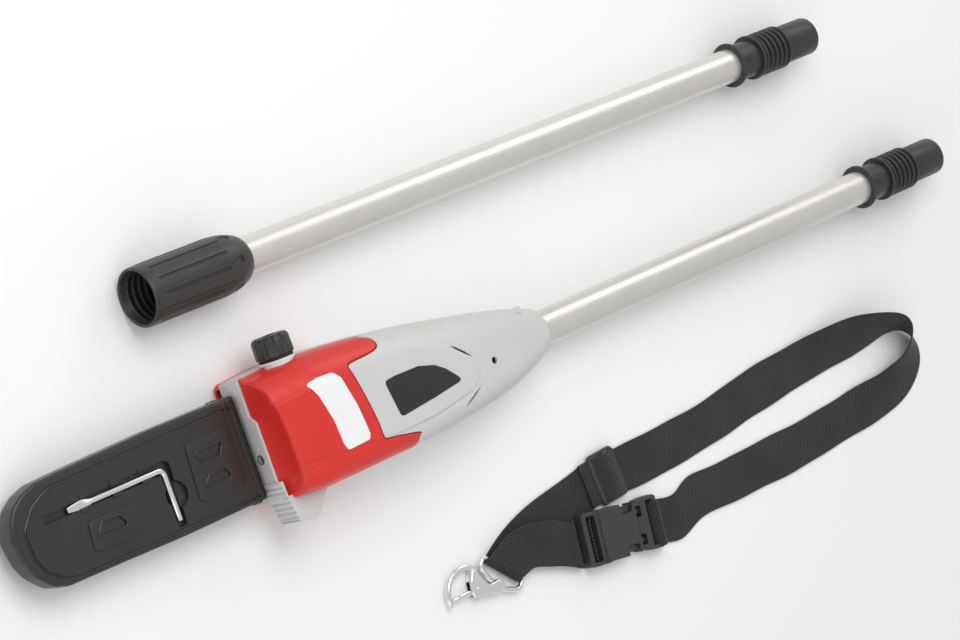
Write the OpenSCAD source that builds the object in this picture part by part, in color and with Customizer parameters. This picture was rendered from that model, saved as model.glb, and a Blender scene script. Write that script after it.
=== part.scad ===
// Pole saw kit: a battery pole saw head on its tube, an extension tube with a
// screw collar, and a webbing carrying strap with its buckle and snap hook.
// X runs from the blade tip to the pole's plug, Y is the oil cap's side, Z is up.
// The origin is on the saw tube's axis, at the end face of its plug.

/* [Tube] */
// Outer diameter of both tubes
tube_d = 30; // [26:1:34]
// Wall of both tubes
tube_wall = 1.5; // [1:0.25:2.5]
// Length of saw tube between the head and the plug's flange
tube_visible = 424; // [300:1:700]
// Length of extension tube between the collar nut and the plug's flange
ext_visible = 577; // [400:1:900]

/* [Plug] */
// Diameter of the plug's smooth end
plug_d = 34; // [30:1:35]
// Length of the plug's smooth end
plug_smooth = 38; // [25:1:60]
// Number of thread rings
ring_count = 6; // [3:1:9]
// Pitch of the thread rings
ring_pitch = 6.2; // [5:0.1:9]
// Length of the short sleeve behind the flange
sleeve_len = 24; // [15:1:40]

/* [Collar nut] */
// Length of the collar nut
nut_len = 104; // [90:1:140]
// Wall of the collar nut
nut_wall = 3; // [2.5:0.1:4.5]
// Number of grip grooves
nut_grooves = 12; // [8:1:18]

/* [Head] */
// Length of the head
head_len = 312; // [290:1:380]
// Depth of the head below the tube's axis
head_drop = 24.25; // [23:0.25:30]
// Height of the head above the tube's axis
head_rise = 48; // [46:0.5:60]
// Width of the head on the oil cap's side of the tube's axis
head_cap_side = 62; // [60:0.5:75]
// Width of the head on the bumper's side of the tube's axis
head_bumper_side = 40; // [38:0.5:55]
// Wall of the moulded shells
shell_wall = 3; // [2:0.1:4]

/* [Bar and chain] */
// Distance from the drive sprocket's axis to the bar's nose axis
bar_reach = 249; // [200:1:300]
// Radius of the bar's nose
nose_r = 22; // [18:0.5:24]
// Thickness of the bar
bar_t = 4.4; // [3.6:0.1:5.2]
// Slack travel of the bar
tension_travel = 5; // [3:0.5:6]

/* [Scabbard] */
// Width of the scabbard
scab_w = 85; // [80:1:95]
// Thickness of the scabbard
scab_t = 23; // [21:0.5:28]
// Wall of the scabbard
scab_wall = 2.5; // [1.8:0.1:3]

/* [Oil cap] */
// Diameter of the oil cap
cap_d = 31; // [26:1:36]
// Height of the oil cap
cap_h = 17; // [12:1:24]

/* [Strap] */
// Width of the webbing
web_w = 38; // [30:1:42]
// Thickness of the webbing
web_t = 2; // [1.4:0.1:2.6]

/* [Hidden] */
$fn = 64;

// Clearances
run_fit = 0.05;      // radial, between a shaft and its own bore
slip = 0.3;          // between two bodies that slide or part
part_line = 0.2;     // between two mouldings of one body

// Tubes and plugs
tube_r = tube_d / 2;
tube_bore = tube_r - tube_wall;
plug_r = plug_d / 2;
flange_t = 3;
flange_r = plug_r + 3;
ring_r = plug_r + 2.4;
ring_t = 3;
plug_len = 2 * flange_t + sleeve_len + ring_count * ring_pitch + plug_smooth;
stub_len = 24;
recess_r = 12;
recess_len = 30;
wire_r = 3;
contact_y = 5;
contact_r = 1.6;

// Head, from front face to rear collar
head_rear = -plug_len - tube_visible;
head_front = head_rear - head_len;
rear_r = tube_r + 5;
grip_len = 14;
split_z = 2;
rim_top = 11;
cover_top = -13;
bulkhead_x = head_front + 100;
floor_z = -head_drop;

// Bar, chain and sprocket
bar_y = 7;
bar_z = -8;
sprocket_x = head_front + 54;
nose_x = sprocket_x - bar_reach;
sprocket_r = 14;
tail_r = nose_r - 5;
tail_x = sprocket_x - 41;
stud_r = 4;
stud_x = sprocket_x - 37;
chain_path_r = sprocket_r + 2.4;
chain_band = 6;
chain_t = bar_t + 0.4;
tongue_t = 1.2;
groove_d = 4.4;
slot_len = 2 * tension_travel + 4;
tension_y = -4;
tension_pin_r = 2;
tension_z = 7.6;
screw_r = 2.6;

// Gear train
plate_z = -3;
plate_t = 4;
crown_teeth = 40;
pinion_teeth = 10;
pinion_pitch_r = 5.5;
crown_pitch_r = pinion_pitch_r * crown_teeth / pinion_teeth;
tooth_w = 0.9;
motor_z = 14;
motor_r = 17;
motor_front = head_front + 98;
motor_len = 62;
shaft_r = 4;
bearing_r = 9;
bearing_t = 4;

// Scabbard and its tool
scab_top = 5;
scab_bottom = scab_top - scab_t;
scab_open_x = head_front - 3.4;
scab_tip_x = nose_x - nose_r - chain_band - 10;
tool_d = 5;
tool_len = 91;
tool_leg = 41;
tool_corner = [sprocket_x - 141, 19.5];
tool_z = 4;

// Oil cap
cap_x = head_front + 41;
cap_z = 14;
neck_r = 11;
cap_pitch = 3;

// Extension tube beside the saw
ext_y = 146;
ext_end = -108;
ext_tube_end = ext_end - plug_len;
nut_rear = ext_tube_end - ext_visible;
nut_front = nut_rear - nut_len;
nut_r = plug_r + 4.25 + nut_wall;
nut_bore = plug_r + 4.2;
socket_r = plug_r + 3;
socket_fit = 0.15;
socket_front = nut_front + 32;
socket_depth = 40;
socket_guide = 16;
socket_back = nut_rear - 14;
ext_z = floor_z + nut_r;

// Strap hardware
buckle_pos = [-498, -186.5];
buckle_turn = -8;
buckle_t = 13;
buckle_w = web_w + 8;
slot_w = web_w + 1;
glide_w = web_w + 6;
glide_rail = (glide_w - slot_w) / 2;
glide_pos = [-489, -139.3];
glide_turn = 3;
ring_pos = [-630, -170];
ring_turn = 45;
ring_wire_r = 2.25;
hook_pos = [-672, -176];
hook_r = 21;
hook_wire_r = 2.6;
hook_t = 8.6;
gate_x = hook_pos[0] + 9;
gate_pin_r = 1.2;
fold_in = ring_wire_r + 0.45;
fold_rise = web_t + 2 * fold_in;

// Route of the webbing's two edges above the floor, for webbing route_w wide
route_w = 38;
EDGE_LOW = [
    [-468, -159, 0], [-440, -160, 0], [-400, -159, 0], [-350, -156, 0], [-300, -150, 0],
    [-250, -146, 0], [-205, -143, 0], [-170, -141, 0], [-138, -139, 0], [-108, -136, 0],
    [-86, -141, 0], [-74, -156, 0], [-76, -173, 0], [-92, -188, 0], [-118, -199, 0],
    [-150, -204, 0], [-200, -208, 0], [-260, -211, 0], [-320, -211, 0], [-360, -211, 0],
    [-398, -210, 0]
];
EDGE_HIGH = [
    [-469, -121, 0], [-440, -122, 0], [-400, -121, 0], [-350, -118, 0], [-300, -112, 0],
    [-250, -108, 1], [-205, -105.5, 5], [-170, -106, 13], [-142, -110, 24], [-116, -120, 33],
    [-105, -133, 32], [-104, -148, 23], [-110, -158, 14], [-120, -163, 8], [-136, -167, 4],
    [-160, -168, 2], [-203, -170, 0], [-261, -173, 0], [-320, -173, 0], [-359, -173, 0],
    [-397, -172, 0]
];
TURN_FROM = 5;
TURN_TO = 16;
LEG_LONG_LOW = [
    [-615, -184, 0], [-592, -175, 0], [-558, -168, 0], [-522, -163, 0], [-500, -160, 0], [-470, -159, 0]
];
LEG_LONG_HIGH = [
    [-642, -157, 0], [-608, -141, 0], [-563, -131, 0], [-526, -125, 0], [-503, -122, 0], [-471, -121, 0]
];
LEG_SHORT_LOW = [
    [-615, -184, fold_rise], [-599, -182, fold_rise - 0.4], [-578, -188, fold_rise - 0.4],
    [-560, -195, fold_rise - 0.9], [-551, -200, fold_rise - 1.4]
];
LEG_SHORT_HIGH = [
    [-642, -157, fold_rise], [-609, -145, fold_rise - 0.4], [-572, -150, fold_rise - 0.4],
    [-555, -158, fold_rise - 0.9], [-546, -163, fold_rise - 1.4]
];

// ---------- shared shapes ----------

// Points of an arc, both ends included
function arc_pts(c, r, a0, a1, n = 6) =
    [for (i = [0 : n]) c + r * [cos(a0 + (a1 - a0) * i / n), sin(a0 + (a1 - a0) * i / n)]];

// Outline of one head section in Y and Z, with its own radius on each top corner
function section_pts(yl, yh, zl, zh, r_cap, r_low, r_base) = concat(
    arc_pts([yh - r_cap, zh - r_cap], r_cap, 0, 90),
    arc_pts([yl + r_low, zh - r_low], r_low, 90, 180),
    arc_pts([yl + r_base, zl + r_base], r_base, 180, 270),
    arc_pts([yh - r_base, zl + r_base], r_base, 270, 360));

// Thin slab with a section's outline, standing at x
module station(x, yl, yh, zl, zh, r_cap, r_low, r_base, inset) {
    translate([x, 0, 0])
        rotate([90, 0, 90])
            linear_extrude(0.05)
                polygon(section_pts(yl + inset, yh - inset, zl + inset, zh - inset,
                    r_cap - inset, r_low - inset, max(r_base - inset, 0.8)));
}

// The head's closed outer form, drawn in by inset
module head_loft(inset, front_cut, rear_cut) {
    side = head_bumper_side;
    cap = head_cap_side;
    top = head_rise;
    hull() {
        station(head_front + front_cut, 1 - side, cap - 2, floor_z, top - 4, 28, 18, 4, inset);
        station(head_front + 40, -side - 3, cap, floor_z, top, 28, 18, 4, inset);
        station(head_front + head_len * 0.41, -side - 2, cap - 6, floor_z, top, 28, 18, 6, inset);
        station(head_front + head_len * 0.6, -side + 1, cap - 15, floor_z + 0.5, top - 4,
            26, 18, 8, inset);
        station(head_front + head_len * 0.79, -side + 6, cap - 26, floor_z + 2, top - 12,
            24, 20, 14, inset);
        station(head_rear - 12 - rear_cut / 2, -rear_r - 2, rear_r + 3, -rear_r - 1, rear_r + 3,
            rear_r, rear_r, 18, inset);
        station(head_rear - 0.05 - rear_cut, -rear_r, rear_r, -rear_r, rear_r, rear_r, rear_r, rear_r, inset);
    }
}

module head_wall() {
    difference() {
        head_loft(0, 0, 0);
        head_loft(shell_wall, shell_wall, grip_len);
        along_x(head_rear - 60, 80, tube_r + run_fit);
    }
}

// Plan of the red shroud, seen from above
module shroud_plan(grow) {
    side = head_bumper_side;
    cap = head_cap_side;
    offset(delta = grow)
        polygon([
            [head_front - 5, -side - 20], [head_front + 150, -side - 20],
            [head_front + 150, -side - 2], [head_front + 100, -side + 10],
            [head_front + 92, 0], [head_front + 78, cap - 28],
            [head_front + 126, cap - 16], [head_front + 126, cap + 10],
            [head_front - 5, cap + 10]
        ]);
}

// Cylinder along X from x for a length
module along_x(x, len, r, y = 0, z = 0) {
    translate([x, y, z])
        rotate([0, 90, 0])
            cylinder(h = len, r = r);
}

// Cylinder along Z from z for a length
module along_z(p, z, len, r) {
    translate([p[0], p[1], z])
        cylinder(h = len, r = r);
}

// Box from one corner to the opposite one
module box(a, b) {
    translate(a)
        cube(b - a);
}

// Ring, bored along its own Z axis
module ring(len, r_out, r_in) {
    difference() {
        cylinder(h = len, r = r_out);
        translate([0, 0, -1])
            cylinder(h = len + 2, r = r_in);
    }
}

// Solid turned about X from points given as [x, radius]
module turned(points) {
    rotate([0, 90, 0])
        rotate_extrude()
            polygon([for (p = points) [p[1], p[0]]]);
}

// Plug with its flanges, thread rings and socket, ending at x = 0
module plug() {
    rings_from = -plug_smooth - ring_count * ring_pitch;
    difference() {
        union() {
            along_x(-plug_len, flange_t, flange_r);
            along_x(-plug_len - stub_len, stub_len + 1, tube_bore - run_fit);
            along_x(-plug_len, plug_len - plug_smooth, plug_r - 0.6);
            along_x(rings_from - flange_t, flange_t, flange_r);
            for (i = [0 : ring_count - 1])
                along_x(rings_from + (i + 0.5) * ring_pitch - ring_t / 2, ring_t, ring_r);
            along_x(-plug_smooth, plug_smooth, plug_r);
        }
        along_x(-recess_len, recess_len + 1, recess_r);
        along_x(-plug_len - stub_len - 1, plug_len + stub_len, wire_r + 0.3);
        for (y = [-contact_y, contact_y])
            along_x(-recess_len - 6, 8, contact_r + 0.8 + run_fit, y);
    }
}

// Two brass contact sleeves in the plug's recess
module plug_sleeves() {
    for (y = [-contact_y, contact_y])
        difference() {
            along_x(-recess_len - 6, recess_len - 4, contact_r + 0.8, y);
            along_x(-recess_len, recess_len, contact_r + 0.15, y);
        }
}

// ---------- saw head ----------

module head_shell_lower() {
    color("gainsboro")
        difference() {
            union() {
                intersection() {
                    head_wall();
                    union() {
                        box([head_front - 1, -90, cover_top], [head_rear + 1, 90, split_z]);
                        box([bulkhead_x, -90, -60], [head_rear + 1, 90, split_z]);
                    }
                }
                intersection() {
                    head_loft(shell_wall - 0.5, shell_wall, grip_len);
                    box([bulkhead_x, -90, -60], [bulkhead_x + shell_wall, 90, plate_z - part_line]);
                }
            }
            box([head_front - 2, bar_y - 28, cover_top - 1], [head_front + 8, bar_y + 28, plate_z - 0.4]);
            neck_hole();
        }
}

module head_shell_upper() {
    color("gainsboro")
        difference() {
            intersection() {
                head_wall();
                box([head_front - 1, -90, split_z + part_line], [head_rear + 1, 90, 90]);
            }
            translate([0, 0, rim_top - part_line])
                linear_extrude(90)
                    shroud_plan(part_line);
            along_x(head_front - 1, 8, screw_r + 1, tension_y, tension_z);
            neck_hole();
            vent_slots();
            // screw well behind the label
            along_z([head_rear - 85, -3], 10, 60, 3);
        }
}

module vent_slots() {
    for (side = [-1, 1])
        translate([head_rear - 125, -2 + side * 24, 25])
            rotate([0, 0, side * -22])
                box([-14, -1, 0], [14, 1, 40]);
}

module neck_hole() {
    translate([cap_x, 20, cap_z])
        rotate([-90, 0, 0])
            cylinder(h = 80, r = neck_r + 3 + run_fit);
}

module red_shroud() {
    color("red")
        difference() {
            intersection() {
                head_wall();
                translate([0, 0, rim_top])
                    linear_extrude(90)
                        shroud_plan(0);
            }
            neck_hole();
        }
}

module chain_cover() {
    boss_r = 13;
    color("red")
        difference() {
            union() {
                intersection() {
                    head_wall();
                    box([head_front - 1, -90, -60], [bulkhead_x - part_line, 90, cover_top - part_line]);
                }
                along_z([stud_x, bar_y], floor_z, head_drop - 13.4, boss_r);
            }
            along_z([stud_x, bar_y], floor_z - 1, 8, boss_r - 2.5);
            along_z([stud_x, bar_y], floor_z - 1, 40, stud_r + run_fit);
        }
}

module bumper_spike() {
    tooth_pitch = 4.4;
    tooth_count = 7;
    tooth_d = 1.8;
    y_from = -27;
    lean = 0.2;
    foot_y = -head_bumper_side - 20;
    color("lightgray")
        difference() {
            translate([head_front, 0, 0])
                linear_extrude(18)
                    polygon(concat(
                        [for (i = [0 : tooth_count * 2])
                            let (d = i * tooth_pitch / 2)
                            [-5.2 + lean * d + (i % 2 == 0 ? 0 : tooth_d), y_from - d]],
                        [[12, foot_y], [22, foot_y - 1], [30, foot_y + 6], [44, -head_bumper_side],
                         [30, -head_bumper_side + 3], [-0.2, y_from]]));
            head_loft(-part_line, 0, 0);
            box([head_front - part_line, -head_bumper_side + 5, -30], [head_front + 60, 90, 60]);
            box([head_front - 12, bar_y - scab_w / 2 - 1, -30], [head_front, 90, scab_top + slip]);
        }
}

// Thin plate that follows the head's skin, cut to an outline in plan
module skin_plate(points, proud) {
    intersection() {
        difference() {
            head_loft(-proud, 0, 0);
            head_loft(0, 0, 0);
        }
        translate([0, 0, 26])
            linear_extrude(60)
                offset(r = 3)
                    offset(delta = -3)
                        polygon(points);
    }
}

module label_plate() {
    color("dimgray")
        skin_plate([
            [head_front + 112, 17], [head_front + 146, 19], [head_front + 168, 11],
            [head_front + 188, -7], [head_front + 117, -13]
        ], 0.6);
}

module label_window() {
    color("white")
        skin_plate([
            [head_front + 36, 42], [head_front + 60, 40], [head_front + 74, -18],
            [head_front + 50, -20], [head_front + 47, 10]
        ], 0.5);
}

module oil_tank() {
    tank_wall = 1.6;
    low = [head_front + 8, 36, split_z + 2];
    high = [bulkhead_x - 17, 53, 30];
    color("ivory", 0.8)
        difference() {
            box(low, high);
            box(low + tank_wall * [1, 1, 1], high - tank_wall * [1, 1, 1]);
            translate([cap_x, high[1] - 4, cap_z])
                rotate([-90, 0, 0])
                    cylinder(h = 10, r = neck_r - 2 + run_fit);
        }
}

module oil_neck() {
    y0 = 53 + part_line;
    seat_y = head_cap_side + 2;
    color("whitesmoke")
        difference() {
            union() {
                translate([cap_x, y0, cap_z])
                    rotate([-90, 0, 0])
                        cylinder(h = seat_y - y0, r = neck_r + 3);
                translate([cap_x, y0, cap_z])
                    rotate([-90, 0, 0])
                        cylinder(h = seat_y + 10 - y0, r = neck_r);
            }
            translate([cap_x, y0 - 1, cap_z])
                rotate([-90, 0, 0])
                    cylinder(h = 60, r = neck_r - 2);
        }
}

module oil_pump() {
    color("dimgray")
        difference() {
            union() {
                box([sprocket_x + 20, 25, plate_z + plate_t], [sprocket_x + 36, 35, 16]);
                along_x(sprocket_x + 16, 5, 2.5, 30, 6);
            }
            along_x(sprocket_x + 14, 12, 1.2, 30, 6);
        }
}

module gear_plate() {
    color("silver")
        difference() {
            box([head_front + 4, -30, plate_z], [bulkhead_x - 2, 44, plate_z + plate_t]);
            along_z([sprocket_x, bar_y], plate_z - 1, plate_t + 2, bearing_r + run_fit);
            along_z([stud_x, bar_y], plate_z - 1, plate_t + 2, stud_r + run_fit);
            box([stud_x - 8, tension_y - 3, plate_z - 1],
                [stud_x + 10, tension_y + 3, plate_z + plate_t + 1]);
            for (p = plate_screws())
                along_z(p, plate_z - 1, plate_t + 2, 2.1);
        }
}

// Places of the screws that hold the gear plate
function plate_screws() = [
    [head_front + 12, -24], [head_front + 12, 30], [bulkhead_x - 10, -24], [bulkhead_x - 10, 38]
];

module bearing_bridge() {
    leg_y = crown_pitch_r + 6;
    z0 = plate_z + plate_t + part_line;
    z1 = 21;
    color("silver")
        difference() {
            union() {
                box([sprocket_x - 12, bar_y - leg_y - 4, z1 - 6], [sprocket_x + 12, bar_y + leg_y, z1]);
                box([sprocket_x - 12, bar_y - leg_y - 4, z0], [sprocket_x + 12, bar_y - leg_y, z1]);
                box([sprocket_x - 12, bar_y + leg_y - 1.5, z0], [sprocket_x + 12, bar_y + leg_y, z1]);
            }
            along_z([sprocket_x, bar_y], z1 - 6 - 1, bearing_t + 1, bearing_r + run_fit);
        }
}

module shaft_bearings() {
    color("steelblue")
        for (z = [plate_z, 15])
            translate([sprocket_x, bar_y, z])
                ring(bearing_t, bearing_r, shaft_r + run_fit);
}

module drive_sprocket() {
    color("slategray") {
        along_z([sprocket_x, bar_y], -15, 15 + 18.8, shaft_r);
        translate([sprocket_x, bar_y, bar_z - 2.5])
            linear_extrude(5)
                difference() {
                    circle(r = sprocket_r);
                    for (a = [0 : 60 : 300])
                        rotate(a + 30)
                            translate([sprocket_r + 1.5, 0])
                                circle(r = 4.5, $fn = 24);
                    circle(r = shaft_r - 0.5);
                }
    }
}

module crown_gear() {
    root_z = motor_z - pinion_pitch_r - 1.6;
    web_z = plate_z + plate_t + 1;
    color("lightsteelblue")
        difference() {
            union() {
                along_z([sprocket_x, bar_y], web_z, root_z - web_z, crown_pitch_r + 3);
                for (i = [0 : crown_teeth - 1])
                    translate([sprocket_x, bar_y, root_z - 0.2])
                        rotate([0, 0, (i + 0.5) * 360 / crown_teeth])
                            box([crown_pitch_r - 3, -tooth_w / 2, 0],
                                [crown_pitch_r + 2.8, tooth_w / 2, 2.6]);
            }
            along_z([sprocket_x, bar_y], -5, 40, shaft_r + run_fit);
        }
}

module motor_can() {
    color("gray")
        translate([motor_front, bar_y, motor_z])
            rotate([0, 90, 0])
                difference() {
                    cylinder(h = motor_len, r = motor_r);
                    translate([0, 0, 3])
                        cylinder(h = motor_len - 6, r = motor_r - 2);
                    translate([0, 0, -1])
                        cylinder(h = motor_len + 2, r = 6 + run_fit);
                }
}

module motor_bearings() {
    color("steelblue")
        for (x = [0, motor_len - 3])
            translate([motor_front + x, bar_y, motor_z])
                rotate([0, 90, 0])
                    ring(3, 6, 2.5 + run_fit);
}

module motor_rotor() {
    pinion_x = sprocket_x + crown_pitch_r - 3;
    pinion_len = 6;
    root_r = pinion_pitch_r - 1.3;
    color("peru") {
        along_x(pinion_x + 1, motor_front + motor_len - pinion_x + 3, 2.5, bar_y, motor_z);
        along_x(motor_front + 8, motor_len - 16, motor_r - 5, bar_y, motor_z);
        translate([pinion_x, bar_y, motor_z])
            rotate([0, 90, 0]) {
                cylinder(h = pinion_len, r = root_r);
                for (i = [0 : pinion_teeth - 1])
                    rotate([0, 0, i * 360 / pinion_teeth])
                        box([root_r - 0.8, -tooth_w / 2, 0], [pinion_pitch_r + 0.8, tooth_w / 2, pinion_len]);
            }
    }
}

module bar_stud() {
    color("darkgray")
        along_z([stud_x, bar_y], floor_z + 1.5, plate_z + plate_t - floor_z - 1.5, stud_r);
}

module cover_nut() {
    color("silver")
        translate([stud_x, bar_y, floor_z + 1.2])
            difference() {
                cylinder(h = 5.6, r = 7.5, $fn = 6);
                translate([0, 0, -1])
                    cylinder(h = 8, r = stud_r + run_fit);
            }
}

module housing_screws() {
    color("silver")
        for (p = plate_screws()) {
            along_z(p, plate_z - 1.6, 1.6, 3.5);
            along_z(p, plate_z - 1, 14, 2);
        }
}

module tube_clamp() {
    color("darkgray")
        difference() {
            translate([head_rear - 46, 0, 0])
                rotate([0, 90, 0])
                    ring(24, tube_r + 2.6, tube_r + run_fit);
            box([head_rear - 60, -1, 0], [head_rear, 1, 40]);
        }
}

module saw_tube() {
    color("silver")
        translate([head_rear - 52, 0, 0])
            rotate([0, 90, 0])
                ring(tube_visible + 52, tube_r, tube_bore);
}

module saw_plug() {
    color("black")
        plug();
}

module plug_contacts() {
    color("gold")
        plug_sleeves();
}

module saw_wire() {
    wire_from = motor_front + motor_len + 4;
    color("darkred")
        along_x(wire_from, -recess_len - 7 - wire_from, wire_r);
}

// ---------- bar, chain, tensioner ----------

// Bar's outline between its nose and its tail, drawn in by inset
module bar_outline(inset) {
    hull() {
        translate([nose_x, bar_y])
            circle(r = nose_r - inset);
        translate([tail_x, bar_y])
            circle(r = tail_r - inset);
    }
}

module guide_bar() {
    color("lightgray")
        difference() {
            translate([0, 0, bar_z - bar_t / 2])
                linear_extrude(bar_t)
                    bar_outline(0);
            translate([0, 0, bar_z - tongue_t / 2 - 0.15])
                linear_extrude(tongue_t + 0.3)
                    difference() {
                        bar_outline(-1);
                        bar_outline(groove_d + 0.6);
                    }
            along_z([nose_x, bar_y], bar_z - tongue_t / 2 - 0.15, tongue_t + 0.3, nose_r - groove_d);
            for (x = [0, 1])
                along_z([stud_x - x * slot_len + 2, bar_y], bar_z - 5, 10, stud_r + slip);
            box([stud_x - slot_len + 2, bar_y - stud_r - slip, bar_z - 5],
                [stud_x + 2, bar_y + stud_r + slip, bar_z + 5]);
            along_z([stud_x, tension_y], bar_z - 5, 10, tension_pin_r + run_fit);
        }
    color("gray")
        for (a = [-1, 1])
            along_z([nose_x, bar_y], bar_z - tongue_t / 2 - 0.15, tongue_t + 0.3, 3.5);
}

module nose_sprocket() {
    teeth = 9;
    color("slategray")
        translate([nose_x, bar_y, bar_z - tongue_t / 2])
            linear_extrude(tongue_t)
                difference() {
                    circle(r = nose_r - groove_d - 0.5);
                    for (i = [0 : teeth - 1])
                        rotate((i + 0.5) * 360 / teeth)
                            translate([nose_r - groove_d, 0])
                                circle(r = 3, $fn = 20);
                    circle(r = 3.5 + run_fit);
                }
}

// Area between two offsets of the chain's path
module chain_path(r_add) {
    hull() {
        translate([nose_x, bar_y])
            circle(r = nose_r + r_add);
        translate([sprocket_x, bar_y])
            circle(r = chain_path_r + r_add);
    }
}

module saw_chain() {
    color("darkslategray") {
        translate([0, 0, bar_z - chain_t / 2])
            linear_extrude(chain_t)
                difference() {
                    chain_path(chain_band);
                    chain_path(0.4);
                }
        translate([0, 0, bar_z - tongue_t / 2 + 0.05])
            linear_extrude(tongue_t - 0.1)
                difference() {
                    chain_path(1);
                    chain_path(-1.6);
                }
    }
}

module tension_screw() {
    color("silver")
        difference() {
            union() {
                along_x(head_front + 1, 5, screw_r + 0.8, tension_y, tension_z);
                along_x(head_front + 5, 25, screw_r - 0.6, tension_y, tension_z);
            }
            box([head_front, tension_y - 4, tension_z - 0.5],
                [head_front + 2.4, tension_y + 4, tension_z + 0.5]);
        }
}

module tension_block() {
    color("darkgray")
        difference() {
            union() {
                box([stud_x - 5, tension_y - 4.5, plate_z + plate_t + slip],
                    [stud_x + 5, tension_y + 4.5, tension_z + 4.5]);
                along_z([stud_x, tension_y], bar_z - bar_t / 2, 14, tension_pin_r);
            }
            along_x(stud_x - 6, 12, screw_r - 0.6 + run_fit, tension_y, tension_z);
        }
}

// ---------- scabbard and tool ----------

// Scabbard's outline in plan, drawn in by inset
module scabbard_plan(inset) {
    low = bar_y - scab_w / 2;
    high = bar_y + scab_w / 2;
    tip = scab_tip_x;
    offset(delta = -inset)
        offset(r = 9)
            offset(delta = -9)
                polygon([
                    [scab_open_x + 60, low], [scab_open_x + 60, high],
                    [tip + 45, high], [tip + 4, high - 26], [tip, high - 52],
                    [tip + 8, low + 20], [tip + 20, low + 6], [tip + 38, low]
                ]);
}

// Recess for the tool, grown by grow
module tool_recess(grow) {
    x = tool_corner[0];
    y = tool_corner[1];
    half = tool_d / 2 + 1.5 + grow;
    box([x - tool_len - 22 - grow, y - half, 0], [x + half, y + half, 30]);
    box([x - half, y - tool_leg - 7 - grow, 0], [x + half, y + half, 30]);
    translate([x + 5, -2, 0])
        cylinder(h = 30, r = 8 + grow);
}

module raised_line(points, w, h) {
    translate([0, 0, scab_top - 0.2])
        linear_extrude(h + 0.2)
            difference() {
                offset(r = 2)
                    offset(delta = -2)
                        polygon(points);
                offset(r = 1)
                    offset(delta = -1 - w)
                        polygon(points);
            }
}

module scabbard() {
    x = tool_corner[0];
    recess_floor = tool_z - tool_d / 2 - slip;
    color([0.16, 0.13, 0.12])
        difference() {
            union() {
                difference() {
                    intersection() {
                        translate([0, 0, scab_bottom])
                            linear_extrude(scab_t)
                                scabbard_plan(0);
                        box([-2000, -200, -60], [scab_open_x, 200, 60]);
                    }
                    translate([0, 0, scab_bottom + scab_wall])
                        linear_extrude(scab_t - 2 * scab_wall)
                            scabbard_plan(scab_wall);
                }
                intersection() {
                    translate([0, 0, recess_floor - scab_wall])
                        tool_recess(scab_wall);
                    translate([0, 0, recess_floor - scab_wall])
                        linear_extrude(scab_top - recess_floor + scab_wall)
                            scabbard_plan(1);
                }
                raised_line([[x - 88, 10], [x - 36, 6], [x - 37, -17], [x - 90, -17]], 1.2, 0.8);
                raised_line([[x + 24, 30], [x + 62, 28], [x + 60, 9], [x + 30, 6]], 1.2, 0.8);
                raised_line([[x + 30, 1], [x + 62, 4], [x + 62, -12], [x + 24, -16]], 1.2, 0.8);
            }
            translate([0, 0, recess_floor])
                tool_recess(0);
        }
}

module combi_tool() {
    x = tool_corner[0];
    y = tool_corner[1];
    r = tool_d / 2;
    bend = 5;
    color("silver") {
        translate([x - bend, y, tool_z])
            rotate([0, -90, 0])
                cylinder(h = tool_len - bend - 8, r = r);
        translate([x - bend, y - bend, tool_z])
            rotate_extrude(angle = 90)
                translate([bend, 0])
                    circle(r = r);
        translate([x, y - bend, tool_z])
            rotate([90, 0, 0])
                cylinder(h = tool_leg - bend, r = r);
        box([x - tool_len, y - r + 0.2, tool_z - 0.6], [x - tool_len + 12, y + r - 0.2, tool_z + 0.6]);
    }
}

// ---------- oil cap ----------

// Solid on the cap's axis, from y for a length
module cap_cylinder(y, len, r) {
    translate([cap_x, y, cap_z])
        rotate([-90, 0, 0])
            cylinder(h = len, r = r);
}

module oil_cap() {
    seat_y = head_cap_side + 4.2;
    flutes = 14;
    flute_r = 1.8;
    chamfer = 2;
    color([0.14, 0.13, 0.13])
        difference() {
            union() {
                cap_cylinder(seat_y, cap_h - chamfer, cap_d / 2);
                translate([cap_x, seat_y + cap_h - chamfer, cap_z])
                    rotate([-90, 0, 0])
                        cylinder(h = chamfer, r1 = cap_d / 2, r2 = cap_d / 2 - chamfer);
            }
            for (i = [0 : flutes - 1])
                translate([cap_x, seat_y - 1, cap_z])
                    rotate([-90, 0, 0])
                        rotate([0, 0, i * 360 / flutes])
                            translate([cap_d / 2 + 0.6, 0, 0])
                                cylinder(h = cap_h - chamfer - 0.5, r = flute_r);
            cap_cylinder(seat_y - 1, 12, neck_r + slip);
        }
}

module oil_cap_seal() {
    seat_y = head_cap_side + 2 + 0.1;
    color("dimgray")
        difference() {
            cap_cylinder(seat_y, 2, neck_r + 3);
            cap_cylinder(seat_y - 1, 4, neck_r + slip);
        }
}

// ---------- extension ----------

module ext_tube() {
    color("silver")
        translate([socket_back, ext_y, ext_z])
            rotate([0, 90, 0])
                ring(ext_tube_end - socket_back, tube_r, tube_bore);
}

module ext_plug() {
    color("black")
        translate([ext_end, ext_y, ext_z])
            plug();
}

module ext_plug_contacts() {
    color("gold")
        translate([ext_end, ext_y, ext_z])
            plug_sleeves();
}

module ext_socket() {
    color([0.1, 0.1, 0.1])
        translate([0, ext_y, ext_z])
            difference() {
                union() {
                    along_x(socket_front, socket_back - socket_front, socket_r);
                    along_x(socket_back - 1, stub_len, tube_bore - run_fit);
                }
                along_x(socket_front - 1, socket_guide + 1, plug_r + socket_fit);
                along_x(socket_front + socket_guide, socket_depth - socket_guide, plug_r + 4 * socket_fit);
                along_x(socket_front, 200, wire_r + 0.3);
                for (y = [-contact_y, contact_y])
                    along_x(socket_front + socket_depth - 1, 7, contact_r + run_fit, y);
            }
}

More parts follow.
